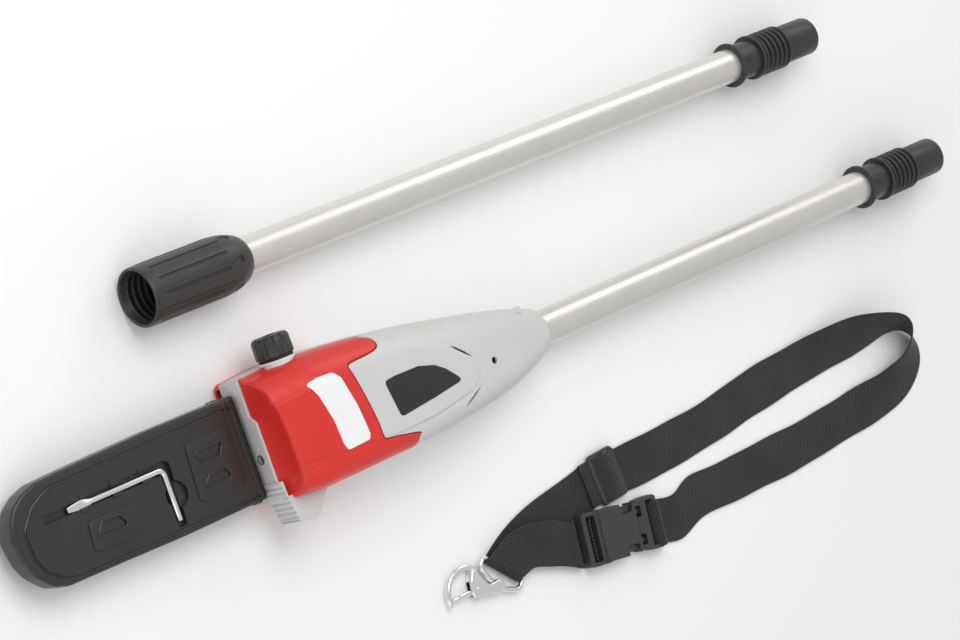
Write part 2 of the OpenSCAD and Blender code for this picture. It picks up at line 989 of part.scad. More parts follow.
module ext_socket_contacts() {
    color("gold")
        for (y = [-contact_y, contact_y])
            along_x(socket_front + socket_depth - 22, 28, contact_r, ext_y + y, ext_z);
}

module ext_wire() {
    x0 = socket_front + socket_depth + 7;
    color("darkred")
        along_x(x0, ext_end - recess_len - 7 - x0, wire_r, ext_y, ext_z);
}

module slip_ring() {
    color("dimgray")
        translate([socket_back + slip, ext_y, ext_z])
            rotate([0, 90, 0])
                ring(7, tube_r + 3, tube_r + run_fit);
}

module collar_nut() {
    pocket = socket_back + slip / 2;
    groove_r = 1.5;
    color([0.2, 0.19, 0.18])
        translate([0, ext_y, ext_z])
            difference() {
                turned([
                    [nut_front, nut_bore], [nut_front, nut_r - 1.2], [nut_front + 1.2, nut_r - 0.4],
                    [nut_front + 8, nut_r], [nut_rear - 22, nut_r], [nut_rear - 8, nut_r - 2.4],
                    [nut_rear - 1.5, nut_r - 5], [nut_rear, nut_r - 6.5], [nut_rear, tube_r + 0.5],
                    [socket_back + slip + 7 + part_line, tube_r + 0.5],
                    [socket_back + slip + 7 + part_line, tube_r + 3 + run_fit],
                    [pocket, tube_r + 3 + run_fit], [pocket, nut_bore],
                    [nut_front + 24, nut_bore], [nut_front + 23, nut_bore - 1.2], [nut_front + 22, nut_bore],
                    [nut_front + 17, nut_bore], [nut_front + 16, nut_bore - 1.2], [nut_front + 15, nut_bore],
                    [nut_front + 10, nut_bore], [nut_front + 9, nut_bore - 1.2], [nut_front + 8, nut_bore]
                ]);
                for (i = [0 : nut_grooves - 1])
                    rotate([i * 360 / nut_grooves, 0, 0])
                        along_x(nut_front + 10, nut_len - 26, groove_r, 0, nut_r + 0.7);
            }
}

// ---------- strap ----------

// Stretch of webbing between two stations of its low and high edges, thick both ways
module webbing(lows, highs, from, to) {
    last = len(lows) - 1;
    wider = (web_w / route_w - 1) / 2;
    n = to - from + 1;
    ups = [for (i = [from : to])
        let (a = max(i - 1, 0),
            b = min(i + 1, last),
            t = lows[b] + highs[b] - lows[a] - highs[a],
            c = cross(t, highs[i] - lows[i]))
        c / norm(c) * web_t / 2];
    lo = [for (i = [from : to]) above_floor(lows[i] - (highs[i] - lows[i]) * wider)];
    hi = [for (i = [from : to]) above_floor(highs[i] + (highs[i] - lows[i]) * wider)];
    rings = [for (i = [0 : n - 1])
        each [lo[i] - ups[i], hi[i] - ups[i], hi[i] + ups[i], lo[i] + ups[i]]];
    sides = [for (i = [0 : n - 2]) for (k = [0 : 3]) each [
        [4 * i + k, 4 * i + (k + 1) % 4, 4 * i + 4 + k],
        [4 * i + (k + 1) % 4, 4 * i + 4 + (k + 1) % 4, 4 * i + 4 + k]]];
    m = 4 * (n - 1);
    translate([0, 0, floor_z + web_t / 2])
        polyhedron(rings, concat([[3, 2, 1, 0]], sides, [[m, m + 1, m + 2, m + 3]]));
}

function above_floor(p) = [p[0], p[1], max(p[2], 0)];

module strap_upper() {
    color([0.2, 0.19, 0.17])
        webbing(EDGE_LOW, EDGE_HIGH, 0, TURN_FROM);
}

module strap_turn() {
    color([0.2, 0.19, 0.17])
        webbing(EDGE_LOW, EDGE_HIGH, TURN_FROM, TURN_TO);
}

module strap_lower() {
    color([0.2, 0.19, 0.17])
        webbing(EDGE_LOW, EDGE_HIGH, TURN_TO, len(EDGE_LOW) - 1);
}

module strap_leg_long() {
    color([0.2, 0.19, 0.17])
        webbing(LEG_LONG_LOW, LEG_LONG_HIGH, 0, len(LEG_LONG_LOW) - 1);
}

module strap_leg_short() {
    color([0.2, 0.19, 0.17])
        webbing(LEG_SHORT_LOW, LEG_SHORT_HIGH, 0, len(LEG_SHORT_LOW) - 1);
}

// Places a child lying at pos, turned about Z, at a height above the floor
module lying(pos, turn, height) {
    translate([pos[0], pos[1], floor_z + height])
        rotate([0, 0, turn])
            children();
}

// Webbing folded round the ring's straight side
module strap_fold() {
    color([0.2, 0.19, 0.17])
        lying(ring_pos, ring_turn, web_t + fold_in)
            rotate([90, 0, 0])
                translate([0, 0, -web_w / 2])
                    rotate([0, 0, 90])
                        rotate_extrude(angle = 180)
                            translate([fold_in, 0])
                                square([web_t, web_w]);
}

module buckle_female() {
    color([0.17, 0.16, 0.16])
        lying(buckle_pos, buckle_turn, buckle_t / 2)
            difference() {
                box([-44, -buckle_w / 2, -buckle_t / 2], [18, buckle_w / 2, buckle_t / 2]);
                box([-40, -slot_w / 2, -10], [-29, slot_w / 2, 10]);
                box([-24, -slot_w / 2, 2.6 - buckle_t / 2], [19, slot_w / 2, buckle_t / 2 - 2.6]);
                for (side = [-1, 1])
                    box([1, side * 21 - 6, -10], [15, side * 21 + 6, 10]);
            }
}

module buckle_male() {
    color([0.17, 0.16, 0.16])
        lying(buckle_pos, buckle_turn, buckle_t / 2) {
            difference() {
                box([18.4, 1 - buckle_w / 2, -5.5], [44, buckle_w / 2 - 1, 5.5]);
                box([31, -slot_w / 2, -10], [39, slot_w / 2, 10]);
                for (side = [-1, 1])
                    box([17, side * 12 - 3.6, -10], [24, side * 12 + 3.6, 10]);
            }
            box([-18, -3, -3], [19, 3, 3]);
        }
}

// One flexing arm of the buckle, on side 1 or -1
module prong(side) {
    lying(buckle_pos, buckle_turn, buckle_t / 2)
        mirror([0, side < 0 ? 1 : 0, 0])
            translate([0, 0, -3])
                linear_extrude(6)
                    polygon([[23, 10], [23, 14], [14.5, 15.5], [13.5, 18.6], [2.5, 18.6],
                        [-8, 13.5], [-8, 11], [4, 12.5], [14, 11.5]]);
}

module buckle_prong_left() {
    color([0.17, 0.16, 0.16])
        prong(1);
}

module buckle_prong_right() {
    color([0.17, 0.16, 0.16])
        prong(-1);
}

module tri_glide() {
    h = web_t + 0.2;
    color([0.17, 0.16, 0.16])
        lying(glide_pos, glide_turn, h)
            difference() {
                box([-15, -glide_w / 2, 0], [15, glide_w / 2, 3.2]);
                for (side = [-1, 1])
                    box([side * 7.25 - 4.5, glide_rail - glide_w / 2, -1],
                        [side * 7.25 + 4.5, glide_w / 2 - glide_rail, 5]);
            }
}

// Closed loop of round wire round a list of plan points; its bends are swaged a little thicker
module wire_loop(points, r, bend) {
    n = len(points);
    swage = 0.07;
    lap = 0.2;
    heads = [for (i = [0 : n - 1]) unit(points[(i + 1) % n] - points[i])];
    turns = [for (i = [0 : n - 1]) acos(heads[(i + n - 1) % n] * heads[i])];
    cuts = [for (t = turns) bend * tan(t / 2)];
    for (i = [0 : n - 1]) {
        into = heads[(i + n - 1) % n];
        start = points[i] - cuts[i] * into;
        straight = norm(points[(i + 1) % n] - points[i]) - cuts[i] - cuts[(i + 1) % n];
        translate(start + bend * [-into[1], into[0]])
            rotate(atan2(-into[0], into[1]))
                rotate_extrude(angle = turns[i])
                    translate([bend, 0])
                        circle(r = r + swage);
        translate(points[i] + (cuts[i] - lap) * heads[i])
            rotate([0, 90, atan2(heads[i][1], heads[i][0])])
                cylinder(h = straight + 2 * lap, r = r);
    }
}

function unit(v) = v / norm(v);

RING_BACK = 15;
function ring_height() = web_t + fold_in;

module hook_ring() {
    half = web_w / 2 + 3.4;
    color("silver")
        lying(ring_pos, ring_turn, ring_height())
            wire_loop([[0, half], [-9, half], [-RING_BACK, 9], [-RING_BACK, -9],
                [-9, -half], [0, -half]], ring_wire_r, 3);
}

module hook_body() {
    eye = ring_pos - RING_BACK * [cos(ring_turn), sin(ring_turn)];
    spine_from = 50;
    spine_to = 183;
    color("silver")
        translate([0, 0, floor_z + ring_height()])
            difference() {
                union() {
                    translate([hook_pos[0], hook_pos[1], 0])
                        rotate([0, 0, spine_from])
                            rotate_extrude(angle = spine_to - spine_from)
                                translate([hook_r, 0])
                                    circle(r = hook_wire_r);
                    translate([0, 0, -hook_t / 2])
                        linear_extrude(hook_t)
                            polygon([
                                eye + [5, -4], eye + [5, 2], eye + [2, 5], eye + [-10.5, 4],
                                hook_pos + [15.5, 10], hook_pos + [15.5, 16], hook_pos + [10.5, 20.5],
                                hook_pos + [4, 10], hook_pos + [4, -4], hook_pos + [14, -7],
                                eye + [-2, -6]
                            ]);
                }
                translate([eye[0], eye[1], 0])
                    rotate([90, 0, ring_turn])
                        translate([0, 0, -30])
                            cylinder(h = 60, r = ring_wire_r + run_fit);
                box([hook_pos[0] - 2, hook_pos[1] - 12, -2.2], [hook_pos[0] + 14, hook_pos[1] + 9, 2.2]);
                along_z([gate_x, hook_pos[1]], -10, 20, gate_pin_r + run_fit);
            }
}

module hook_gate() {
    color("silver")
        translate([0, 0, floor_z + ring_height()])
            difference() {
                union() {
                    along_z([gate_x, hook_pos[1]], -1.9, 3.8, 3.4);
                    along_x(hook_pos[0] - hook_r + 4, gate_x - hook_pos[0] + hook_r - 4, 1.9, hook_pos[1]);
                }
                along_z([gate_x, hook_pos[1]], -10, 20, gate_pin_r + run_fit);
            }
}

module gate_pin() {
    color("gray")
        along_z([gate_x, hook_pos[1]], floor_z + ring_height() - hook_t / 2, hook_t, gate_pin_r);
}

head_shell_lower();
head_shell_upper();
red_shroud();
chain_cover();
bumper_spike();
label_plate();
label_window();
oil_tank();
oil_neck();
oil_pump();
gear_plate();
bearing_bridge();
shaft_bearings();
motor_can();
motor_bearings();
bar_stud();
cover_nut();
housing_screws();
tube_clamp();
saw_tube();
saw_plug();
plug_contacts();
saw_wire();
guide_bar();
nose_sprocket();
saw_chain();
tension_screw();
tension_block();
drive_sprocket();
crown_gear();
motor_rotor();
scabbard();
combi_tool();
oil_cap();
oil_cap_seal();
ext_tube();
ext_socket();
ext_socket_contacts();
ext_plug();
ext_plug_contacts();
ext_wire();
slip_ring();
collar_nut();
strap_upper();
strap_turn();
strap_lower();
strap_leg_long();
strap_leg_short();
strap_fold();
buckle_female();
buckle_male();
buckle_prong_left();
buckle_prong_right();
tri_glide();
hook_ring();
hook_body();
hook_gate();
gate_pin();
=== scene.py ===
"""Dresses the pole saw kit: the saw head on its tube, the extension tube and the carrying strap."""

import math

import bmesh
import bpy
import numpy as np
from mathutils import Matrix, Vector


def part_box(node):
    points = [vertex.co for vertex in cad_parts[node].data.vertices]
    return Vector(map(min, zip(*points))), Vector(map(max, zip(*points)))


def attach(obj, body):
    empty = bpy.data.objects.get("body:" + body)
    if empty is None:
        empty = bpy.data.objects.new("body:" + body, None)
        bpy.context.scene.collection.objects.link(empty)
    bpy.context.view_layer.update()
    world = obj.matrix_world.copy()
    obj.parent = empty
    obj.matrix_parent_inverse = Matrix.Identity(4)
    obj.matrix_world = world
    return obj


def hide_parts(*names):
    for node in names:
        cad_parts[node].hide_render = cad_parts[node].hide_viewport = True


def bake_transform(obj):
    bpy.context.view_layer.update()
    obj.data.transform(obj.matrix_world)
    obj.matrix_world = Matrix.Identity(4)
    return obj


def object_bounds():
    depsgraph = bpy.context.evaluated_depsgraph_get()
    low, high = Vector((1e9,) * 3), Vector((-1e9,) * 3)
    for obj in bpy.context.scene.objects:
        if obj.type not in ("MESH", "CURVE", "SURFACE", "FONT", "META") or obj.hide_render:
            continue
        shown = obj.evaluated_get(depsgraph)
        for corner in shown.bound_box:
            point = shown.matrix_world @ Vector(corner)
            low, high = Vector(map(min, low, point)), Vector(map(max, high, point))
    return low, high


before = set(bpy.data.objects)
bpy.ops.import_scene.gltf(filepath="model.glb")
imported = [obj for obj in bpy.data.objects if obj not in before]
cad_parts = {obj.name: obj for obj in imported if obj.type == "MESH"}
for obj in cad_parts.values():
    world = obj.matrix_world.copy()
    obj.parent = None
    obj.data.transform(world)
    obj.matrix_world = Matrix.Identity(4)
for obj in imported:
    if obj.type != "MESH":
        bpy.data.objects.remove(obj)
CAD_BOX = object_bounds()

bl_info = {
    "name": "Pole saw kit",
    "version": (1, 0, 0),
    "blender": (4, 5, 0),
    "location": "3D View > Sidebar > Pole saw",
    "description": "Builds the visible pieces of a battery pole saw, its extension and its strap",
    "category": "Object",
}

MM = 0.001


def low(node):
    """Lowest corner of a CAD node, in millimetres."""
    return np.array(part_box(node)[0]) / MM


def high(node):
    """Highest corner of a CAD node, in millimetres."""
    return np.array(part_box(node)[1]) / MM


def middle(node):
    return (low(node) + high(node)) / 2


HEAD_X = low("head_shell_upper")[0]
HEAD_LEN = high("head_shell_upper")[0] - HEAD_X
FLOOR_Z = float(CAD_BOX[0][2]) / MM
RIM_TOP = low("red_shroud")[2]
COVER_TOP = high("chain_cover")[2]
SPLIT_Z = high("head_shell_lower")[2]


# ---------- meshes ----------

def smooth_run(x, xs, ys):
    """Smooth curve through (xs, ys) without overshoot, read at x."""
    xs, ys = np.asarray(xs, float), np.asarray(ys, float)
    h, d = np.diff(xs), np.diff(ys) / np.diff(xs)
    m = np.zeros(len(xs))
    m[0], m[-1] = d[0], d[-1]
    same = d[:-1] * d[1:] > 0
    m[1:-1][same] = 2 * d[:-1][same] * d[1:][same] / (d[:-1][same] + d[1:][same])
    i = np.clip(np.searchsorted(xs, x) - 1, 0, len(h) - 1)
    t = np.clip((x - xs[i]) / h[i], 0, 1)
    a, b = ys[i], ys[i + 1]
    return (a * (1 + 2 * t) * (1 - t) ** 2 + b * t * t * (3 - 2 * t)
            + h[i] * (m[i] * t * (1 - t) ** 2 + m[i + 1] * t * t * (t - 1)))


def step_up(x, start, end):
    """0 before start, 1 after end, smooth between."""
    t = np.clip((np.asarray(x, float) - start) / (end - start), 0, 1)
    return t * t * (3 - 2 * t)


def to_polyline(p, line):
    """Distance of points (..., 2) from a polyline."""
    best = np.full(p.shape[:-1], 1e9)
    for a, b in zip(line[:-1], line[1:]):
        a, b = np.asarray(a, float), np.asarray(b, float)
        d = b - a
        t = np.clip(((p - a) @ d) / max(d @ d, 1e-9), 0, 1)
        best = np.minimum(best, np.linalg.norm(p - a - t[..., None] * d, axis=-1))
    return best


def inside(p, polygon):
    """Whether points (..., 2) lie inside a polygon."""
    hit = np.zeros(p.shape[:-1], bool)
    for (x0, y0), (x1, y1) in zip(polygon, polygon[1:] + polygon[:1]):
        crosses = (y0 > p[..., 1]) != (y1 > p[..., 1])
        at = (x1 - x0) * (p[..., 1] - y0) / (y1 - y0 if y1 != y0 else 1e-9) + x0
        hit ^= crosses & (p[..., 0] < at)
    return hit


def rounded(points, radii, steps=6):
    """A closed outline with its corners rounded."""
    out, n = [], len(points)
    radii = radii if isinstance(radii, (list, tuple)) else [radii] * n
    for i, r in enumerate(radii):
        p, a, b = (np.array(points[k], float) for k in (i, i - 1, (i + 1) % n))
        u, v = (a - p) / np.linalg.norm(a - p), (b - p) / np.linalg.norm(b - p)
        half = math.acos(max(-1, min(1, float(u @ v)))) / 2
        if r <= 0 or abs(half - math.pi / 2) < 1e-3:
            out.append(p)
            continue
        run = min(r / math.tan(half), 0.49 * np.linalg.norm(a - p), 0.49 * np.linalg.norm(b - p))
        start, end = p + u * run, p + v * run
        for k in range(steps + 1):
            t = k / steps
            out.append((1 - t) ** 2 * start + 2 * t * (1 - t) * p + t * t * end)
    return [tuple(float(c) for c in q) for q in out]


def make(name, verts, faces, finish, slot, angle=35, uvs=None):
    """A mesh object from points in millimetres."""
    mesh = bpy.data.meshes.new(name)
    mesh.from_pydata([tuple(float(c) * MM for c in v) for v in verts], [], [tuple(f) for f in faces])
    if uvs is not None:
        layer = mesh.uv_layers.new(name="lay")
        for loop in mesh.loops:
            layer.data[loop.index].uv = uvs[loop.vertex_index]
    obj = bpy.data.objects.new(name, mesh)
    bpy.context.scene.collection.objects.link(obj)
    finished(obj, finish, slot, angle)
    return obj


def finished(obj, finish, slot, angle=35):
    """Gives a mesh its material, outward faces and smooth shading with sharp edges."""
    tidy = bmesh.new()
    tidy.from_mesh(obj.data)
    bmesh.ops.recalc_face_normals(tidy, faces=tidy.faces)
    tidy.to_mesh(obj.data)
    tidy.free()
    obj.data.materials.clear()
    obj.data.materials.append(material(finish))
    obj.data.shade_smooth()
    obj.data.set_sharp_from_angle(angle=math.radians(angle))
    return obj


def joined(name, parts, finish, slot, angle=35):
    """Several objects as one mesh."""
    whole = bmesh.new()
    for part in parts:
        whole.from_mesh(part.data)
        bpy.data.objects.remove(part)
    mesh = bpy.data.meshes.new(name)
    whole.to_mesh(mesh)
    whole.free()
    obj = bpy.data.objects.new(name, mesh)
    bpy.context.scene.collection.objects.link(obj)
    return finished(obj, finish, slot, angle)


def grid_faces(n, m, first=0, loop=False):
    """Faces of an n by m grid of points; loop joins the last column to the first."""
    last = m if loop else m - 1
    return [(first + i * m + j, first + (i + 1) * m + j, first + (i + 1) * m + (j + 1) % m,
             first + i * m + (j + 1) % m) for i in range(n - 1) for j in range(last)]


def thick_grid(outer, inner):
    """Points and faces of a closed solid between two grids of the same size."""
    n, m = outer.shape[:2]
    verts = np.concatenate([outer.reshape(-1, 3), inner.reshape(-1, 3)])
    k = n * m
    faces = grid_faces(n, m) + [f[::-1] for f in grid_faces(n, m, k)]
    rim = ([(i, 0) for i in range(n)] + [(n - 1, j) for j in range(1, m)]
           + [(i, m - 1) for i in range(n - 2, -1, -1)] + [(0, j) for j in range(m - 2, 0, -1)])
    rim = [i * m + j for i, j in rim]
    faces += [(a, b, b + k, a + k) for a, b in zip(rim, rim[1:] + rim[:1])]
    return verts, faces


def thickened(outer, wall):
    """The inner side of a wall whose outer side is a grid."""
    du = np.gradient(outer, axis=0)
    dv = np.gradient(outer, axis=1)
    normal = np.cross(du, dv)
    normal /= np.maximum(np.linalg.norm(normal, axis=-1, keepdims=True), 1e-9)
    return outer - wall * normal


def lathe(name, profile, centre, finish, slot, turns=96, ripple=None, angle=30):
    """A solid turned about X from a closed list of (x, radius); ripple(x, r, turn) changes the radius."""
    profile = np.array(profile, float)
    a = np.linspace(0, 2 * math.pi, turns, endpoint=False)
    x = np.repeat(profile[:, :1], turns, 1)
    r = np.repeat(profile[:, 1:], turns, 1)
    if ripple:
        r = ripple(x, r, np.repeat(a[None], len(profile), 0))
    points = np.stack([x + centre[0], centre[1] + r * np.cos(a), centre[2] + r * np.sin(a)], -1)
    n = len(profile)
    faces = grid_faces(n, turns, loop=True)
    faces += [((n - 1) * turns + j, j, (j + 1) % turns, (n - 1) * turns + (j + 1) % turns)
              for j in range(turns)]
    return make(name, points.reshape(-1, 3), faces, finish, slot, angle)


def prism(name, outline, start, end, finish, slot, axis="z", bevel=0.0, segments=3, angle=35):
    """An outline pushed from start to end along an axis, with its edges rounded by bevel."""
    n = len(outline)
    order = {"z": lambda u, v, w: (u, v, w), "x": lambda u, v, w: (w, u, v),
             "y": lambda u, v, w: (u, w, v)}[axis]
    verts = [order(u, v, w) for w in (start, end) for u, v in outline]
    faces = [tuple(range(n))[::-1], tuple(range(n, 2 * n))]
    faces += [(i, (i + 1) % n, n + (i + 1) % n, n + i) for i in range(n)]
    obj = make(name, verts, faces, finish, slot, angle)
    if bevel:
        rounding(obj, bevel, segments, angle)
    return obj


def cutter(outline, start, end, axis="z"):
    """A prism to take out of something else."""
    return prism("cutter", outline, start, end, "black_plastic", "black_plastic", axis)


def rounding(obj, width, segments=3, angle=35):
    """Rounds the edges of a mesh that are sharper than angle."""
    bevel = obj.modifiers.new("rounding", "BEVEL")
    bevel.width = width * MM
    bevel.segments = segments
    bevel.limit_method = "ANGLE"
    bevel.angle_limit = math.radians(angle)
    bevel.harden_normals = False
    settle(obj)
    obj.data.set_sharp_from_angle(angle=math.radians(angle))


def settle(obj):
    """Applies an object's modifiers to its mesh."""
    bpy.context.view_layer.update()
    shaped = obj.evaluated_get(bpy.context.evaluated_depsgraph_get())
    mesh = bpy.data.meshes.new_from_object(shaped)
    old = obj.data
    obj.modifiers.clear()
    obj.data = mesh
    mesh.name = obj.name
    bpy.data.meshes.remove(old)


def cut(obj, *tools, angle=35, solver="EXACT"):
    """Takes the tools' shapes out of an object."""
    for tool in tools:
        step = obj.modifiers.new("cut", "BOOLEAN")
        step.operation = "DIFFERENCE"
        step.solver = solver
        step.object = tool
        settle(obj)
        bpy.data.objects.remove(tool)
    obj.data.set_sharp_from_angle(angle=math.radians(angle))
    return obj


def rod(centre, radius, start, end, axis="z", turns=48):
    """A plain round cutter."""
    circle = [(centre[0] + radius * math.cos(t), centre[1] + radius * math.sin(t))
              for t in np.linspace(0, 2 * math.pi, turns, endpoint=False)]
    return prism("cutter", circle, start, end, "machined_steel", "machined_steel", axis)


def swept(name, path, radii, finish, slot, sides=20, closed=False, flat=(1.0, 1.0), angle=50):
    """A round or oval bar along a path of points; its radius may change along the way."""
    path = np.array(path, float)
    n = len(path)
    radii = np.broadcast_to(np.asarray(radii, float), (n,))
    ahead = np.roll(path, -1, 0) - np.roll(path, 1, 0) if closed else np.gradient(path, axis=0)
    ahead /= np.linalg.norm(ahead, axis=1, keepdims=True)
    up = np.array([0.0, 0.0, 1.0]) if abs(ahead[0][2]) < 0.9 else np.array([0.0, 1.0, 0.0])
    flat = np.broadcast_to(np.asarray(flat, float), (n, 2))
    t = np.linspace(0, 2 * math.pi, sides, endpoint=False)
    verts = []
    for i in range(n):
        side = np.cross(ahead[i], up)
        side /= np.linalg.norm(side)
        up = np.cross(side, ahead[i])
        for a in t:
            verts.append(path[i] + radii[i] * (flat[i, 0] * math.cos(a) * side + flat[i,
                    1] * math.sin(a) * up))
    faces = grid_faces(n, sides, loop=True)
    if closed:
        faces += [((n - 1) * sides + j, j, (j + 1) % sides, (n - 1) * sides + (j + 1) % sides)
                  for j in range(sides)]
    else:
        faces += [tuple(range(sides)), tuple(range((n - 1) * sides, n * sides))]
    return make(name, verts, faces, finish, slot, angle)


def curve_through(points, spacing, closed=False):
    """Evenly spaced points on a smooth curve through the given ones."""
    p = np.array(points, float)
    n = len(p)
    out = []
    for i in range(n if closed else n - 1):
        if closed:
            a, b, c, d = (p[(i + k) % n] for k in (-1, 0, 1, 2))
        else:
            a, b, c, d = p[max(i - 1, 0)], p[i], p[i + 1], p[min(i + 2, n - 1)]
        for t in np.linspace(0, 1, 12, endpoint=False):
            out.append(0.5 * (2 * b + (c - a) * t + (2 * a - 5 * b + 4 * c - d) * t * t
                              + (3 * b - a - 3 * c + d) * t ** 3))
    out.append(p[0] if closed else p[-1])
    out = np.array(out)
    along = np.concatenate([[0], np.cumsum(np.linalg.norm(np.diff(out, axis=0), axis=1))])
    count = max(3, int(round(along[-1] / spacing)) + 1)
    at = np.linspace(0, along[-1], count)
    even = np.stack([np.interp(at, along, out[:, k]) for k in range(p.shape[1])], -1)
    return even[:-1] if closed else even


# ---------- materials ----------

class Flow:
    """A shader socket that Python arithmetic can be done on."""

    def __init__(self, finish, socket):
        self.finish = finish
        self.socket = socket

    def many(self, other=None):
        """Whether this or the other carries a vector or a colour."""
        kinds = [self.socket.type] + ([other.socket.type] if isinstance(other, Flow) else [])
        return any(kind in ("VECTOR", "RGBA") for kind in kinds) or isinstance(other, tuple)

    def maths(self, operation, other=None, flipped=False):
        """This socket joined to another socket or a number by one Math or Vector Math node."""
        kind = "ShaderNodeVectorMath" if self.many(other) else "ShaderNodeMath"
        pair = [self] if other is None else [other, self] if flipped else [self, other]
        return self.finish.node(kind, {"operation": operation}, dict(enumerate(pair)))

    def __add__(self, other):
        return self.maths("ADD", other)

    def __radd__(self, other):
        return self.maths("ADD", other, True)

    def __sub__(self, other):
        return self.maths("SUBTRACT", other)

    def __rsub__(self, other):
        return self.maths("SUBTRACT", other, True)

    def __mul__(self, other):
        return self.maths("MULTIPLY", other)

    def __rmul__(self, other):
        return self.maths("MULTIPLY", other, True)

    def __truediv__(self, other):
        return self.maths("DIVIDE", other)

    def __pow__(self, other):
        return self.maths("POWER", other)

    def sine(self):
        return self.maths("SINE")

    def fraction(self):
        return self.maths("FRACT")

    def whole(self):
        return self.maths("FLOOR")

    def size(self):
        return self.maths("ABSOLUTE")

    def spread(self, start, end, low_end=0.0, high_end=1.0):
        """This socket's start to end range stretched smoothly onto another."""
        return self.finish.node("ShaderNodeMapRange", {"interpolation_type": "SMOOTHSTEP"},
                                {"Value": self, "From Min": start, "From Max": end,
                                 "To Min": low_end, "To Max": high_end})


class Finish:
    """One material and the nodes that make it."""

    def __init__(self, name):
        self.material = bpy.data.materials.new(name)
        self.material.use_nodes = True
        self.tree = self.material.node_tree
        self.shader = self.tree.nodes["Principled BSDF"]

    def node(self, kind, settings=None, sockets=None, out=0):
        """Adds a node: its settings first, then its sockets' values or links, and returns one output."""
        made = self.tree.nodes.new(kind)
        for key, value in (settings or {}).items():
            if key == "stops":
                ramp = made.color_ramp.elements
                while len(ramp) < len(value):
                    ramp.new(0.5)
                for stop, (at, colour) in zip(ramp, value):
                    stop.position, stop.color = at, colour
            else:
                setattr(made, key, value)
        for key, value in (sockets or {}).items():
            self.feed(made.inputs[key], value)
        return Flow(self, made.outputs[out])

    def feed(self, socket, value):
        """Links a flow to a socket, or sets its value."""
        if isinstance(value, Flow):
            self.tree.links.new(value.socket, socket)
        elif isinstance(socket.default_value, float):
            socket.default_value = value
        elif isinstance(value, (int, float)):
            socket.default_value = (value,) * 3
        else:
            size = len(socket.default_value)
            socket.default_value = (tuple(value) + (1.0,))[:size]

    def place(self):
        """The point on the piece, in metres."""
        return self.node("ShaderNodeTexCoord", out="Object")

    def noise(self, scale, detail=2.0, stretch=(1, 1, 1), rough=0.5):
        """Soft noise, about scale blotches to a metre."""
        return self.node("ShaderNodeTexNoise", {}, {"Vector": self.place() * stretch, "Scale": scale,
                                                    "Detail": detail, "Roughness": rough})

    def mix(self, mask, first, second):
        """The first colour where mask is 0 and the second where it is 1."""
        made = self.tree.nodes.new("ShaderNodeMix")
        made.data_type = "RGBA"
        for key, value in ((0, mask), (6, first), (7, second)):
            self.feed(made.inputs[key], value)
        return Flow(self, made.outputs[2])

    def bump(self, height, depth, strength=1.0):
        """Makes height, 0 to 1, stand out by depth millimetres."""
        normal = self.node("ShaderNodeBump", {}, {"Height": height, "Strength": strength,
                                                  "Distance": depth * MM})
        self.set(Normal=normal)

    def set(self, **values):
        for key, value in values.items():
            self.feed(self.shader.inputs[key.replace("_", " ")], value)
        return self


def tinted(colour, share):
    """A colour made lighter or darker."""
    return tuple(min(1.0, c * share) for c in colour[:3])


def moulded(name, colour, rough, grain=2600, depth=0.03, gloss=0.5, uneven=0.06):
    """Moulded plastic: fine spark-eroded grain, faint flow marks and handling scuffs."""
    f = Finish(name)
    fine = f.noise(grain, 1.0)
    broad = f.noise(22, 3.0)
    scuff = f.noise(120, 6.0, (1, 4, 1), 0.65).spread(0.62, 0.72)
    tone = f.mix(broad, tinted(colour, 1 - uneven), tinted(colour, 1 + uneven))
    f.set(Base_Color=f.mix(scuff * 0.25, tone, tinted(colour, 1.25)),
          Roughness=rough + (fine - 0.5) * 0.12 + (broad - 0.5) * 0.1 + scuff * 0.08,
          Specular_IOR_Level=gloss)
    f.bump(fine, depth, 0.35)
    return f.material


def metal(name, colour, rough, streak=(1, 1, 1), scale=900, depth=0.01, uneven=0.08, metallic=1.0):
    """Bare, plated or anodised metal with drawn or cast marks."""
    f = Finish(name)
    marks = f.noise(scale, 3.0, streak)
    cloud = f.noise(45, 3.0)
    nicks = f.noise(300, 4.0).spread(0.66, 0.74)
    tone = f.mix(cloud, tinted(colour, 1 - uneven), tinted(colour, 1 + uneven / 2))
    f.set(Base_Color=f.mix(nicks * 0.4, tone, tinted(colour, 0.7)), Metallic=metallic,
          Roughness=rough + (marks - 0.5) * 0.16 + (cloud - 0.5) * 0.12)
    f.bump(marks, depth, 0.3)
    return f.material


def woven(name, colour, rib, column):
    """Heavy webbing: rows of raised picks, each column half a pick on from the one beside it, with a painted
    highlight on the picks' tops and painted shade in the hollows between them.
    """
    f = Finish(name)
    uv = f.node("ShaderNodeUVMap", {"uv_map": "lay"})
    across = f.node("ShaderNodeSeparateXYZ", {}, {0: uv}, out=0)
    along = f.node("ShaderNodeSeparateXYZ", {}, {0: uv}, out=1)
    v = across / column
    shift = (v.whole() * 0.5).fraction()
    u = along / rib + shift
    pick = (u.fraction() * math.pi).sine() * (v.fraction() * math.pi).sine()
    fuzz = f.noise(1800, 3.0)
    # Soft patches that make the picks' painted highlight stronger, standing partly for wear.
    wear_and_sheen = f.noise(30, 3.0).spread(0.35, 0.7)
    height = pick.spread(0.1, 0.95)
    light = height * (0.6 + wear_and_sheen * 0.4)
    # Base colour runs from a painted-shade copy of the webbing between the picks to a painted-highlight copy
    # on their tops.
    f.set(Base_Color=f.mix(light * (0.45 + fuzz * 0.8), tinted(colour, 0.35), tinted(colour, 2.3)),
          Roughness=0.82 - height * 0.22 + (fuzz - 0.5) * 0.2, Specular_IOR_Level=0.35,
          Sheen_Weight=0.12, Sheen_Roughness=0.5)
    f.bump(height + fuzz * 0.25, 0.45, 0.9)
    return f.material


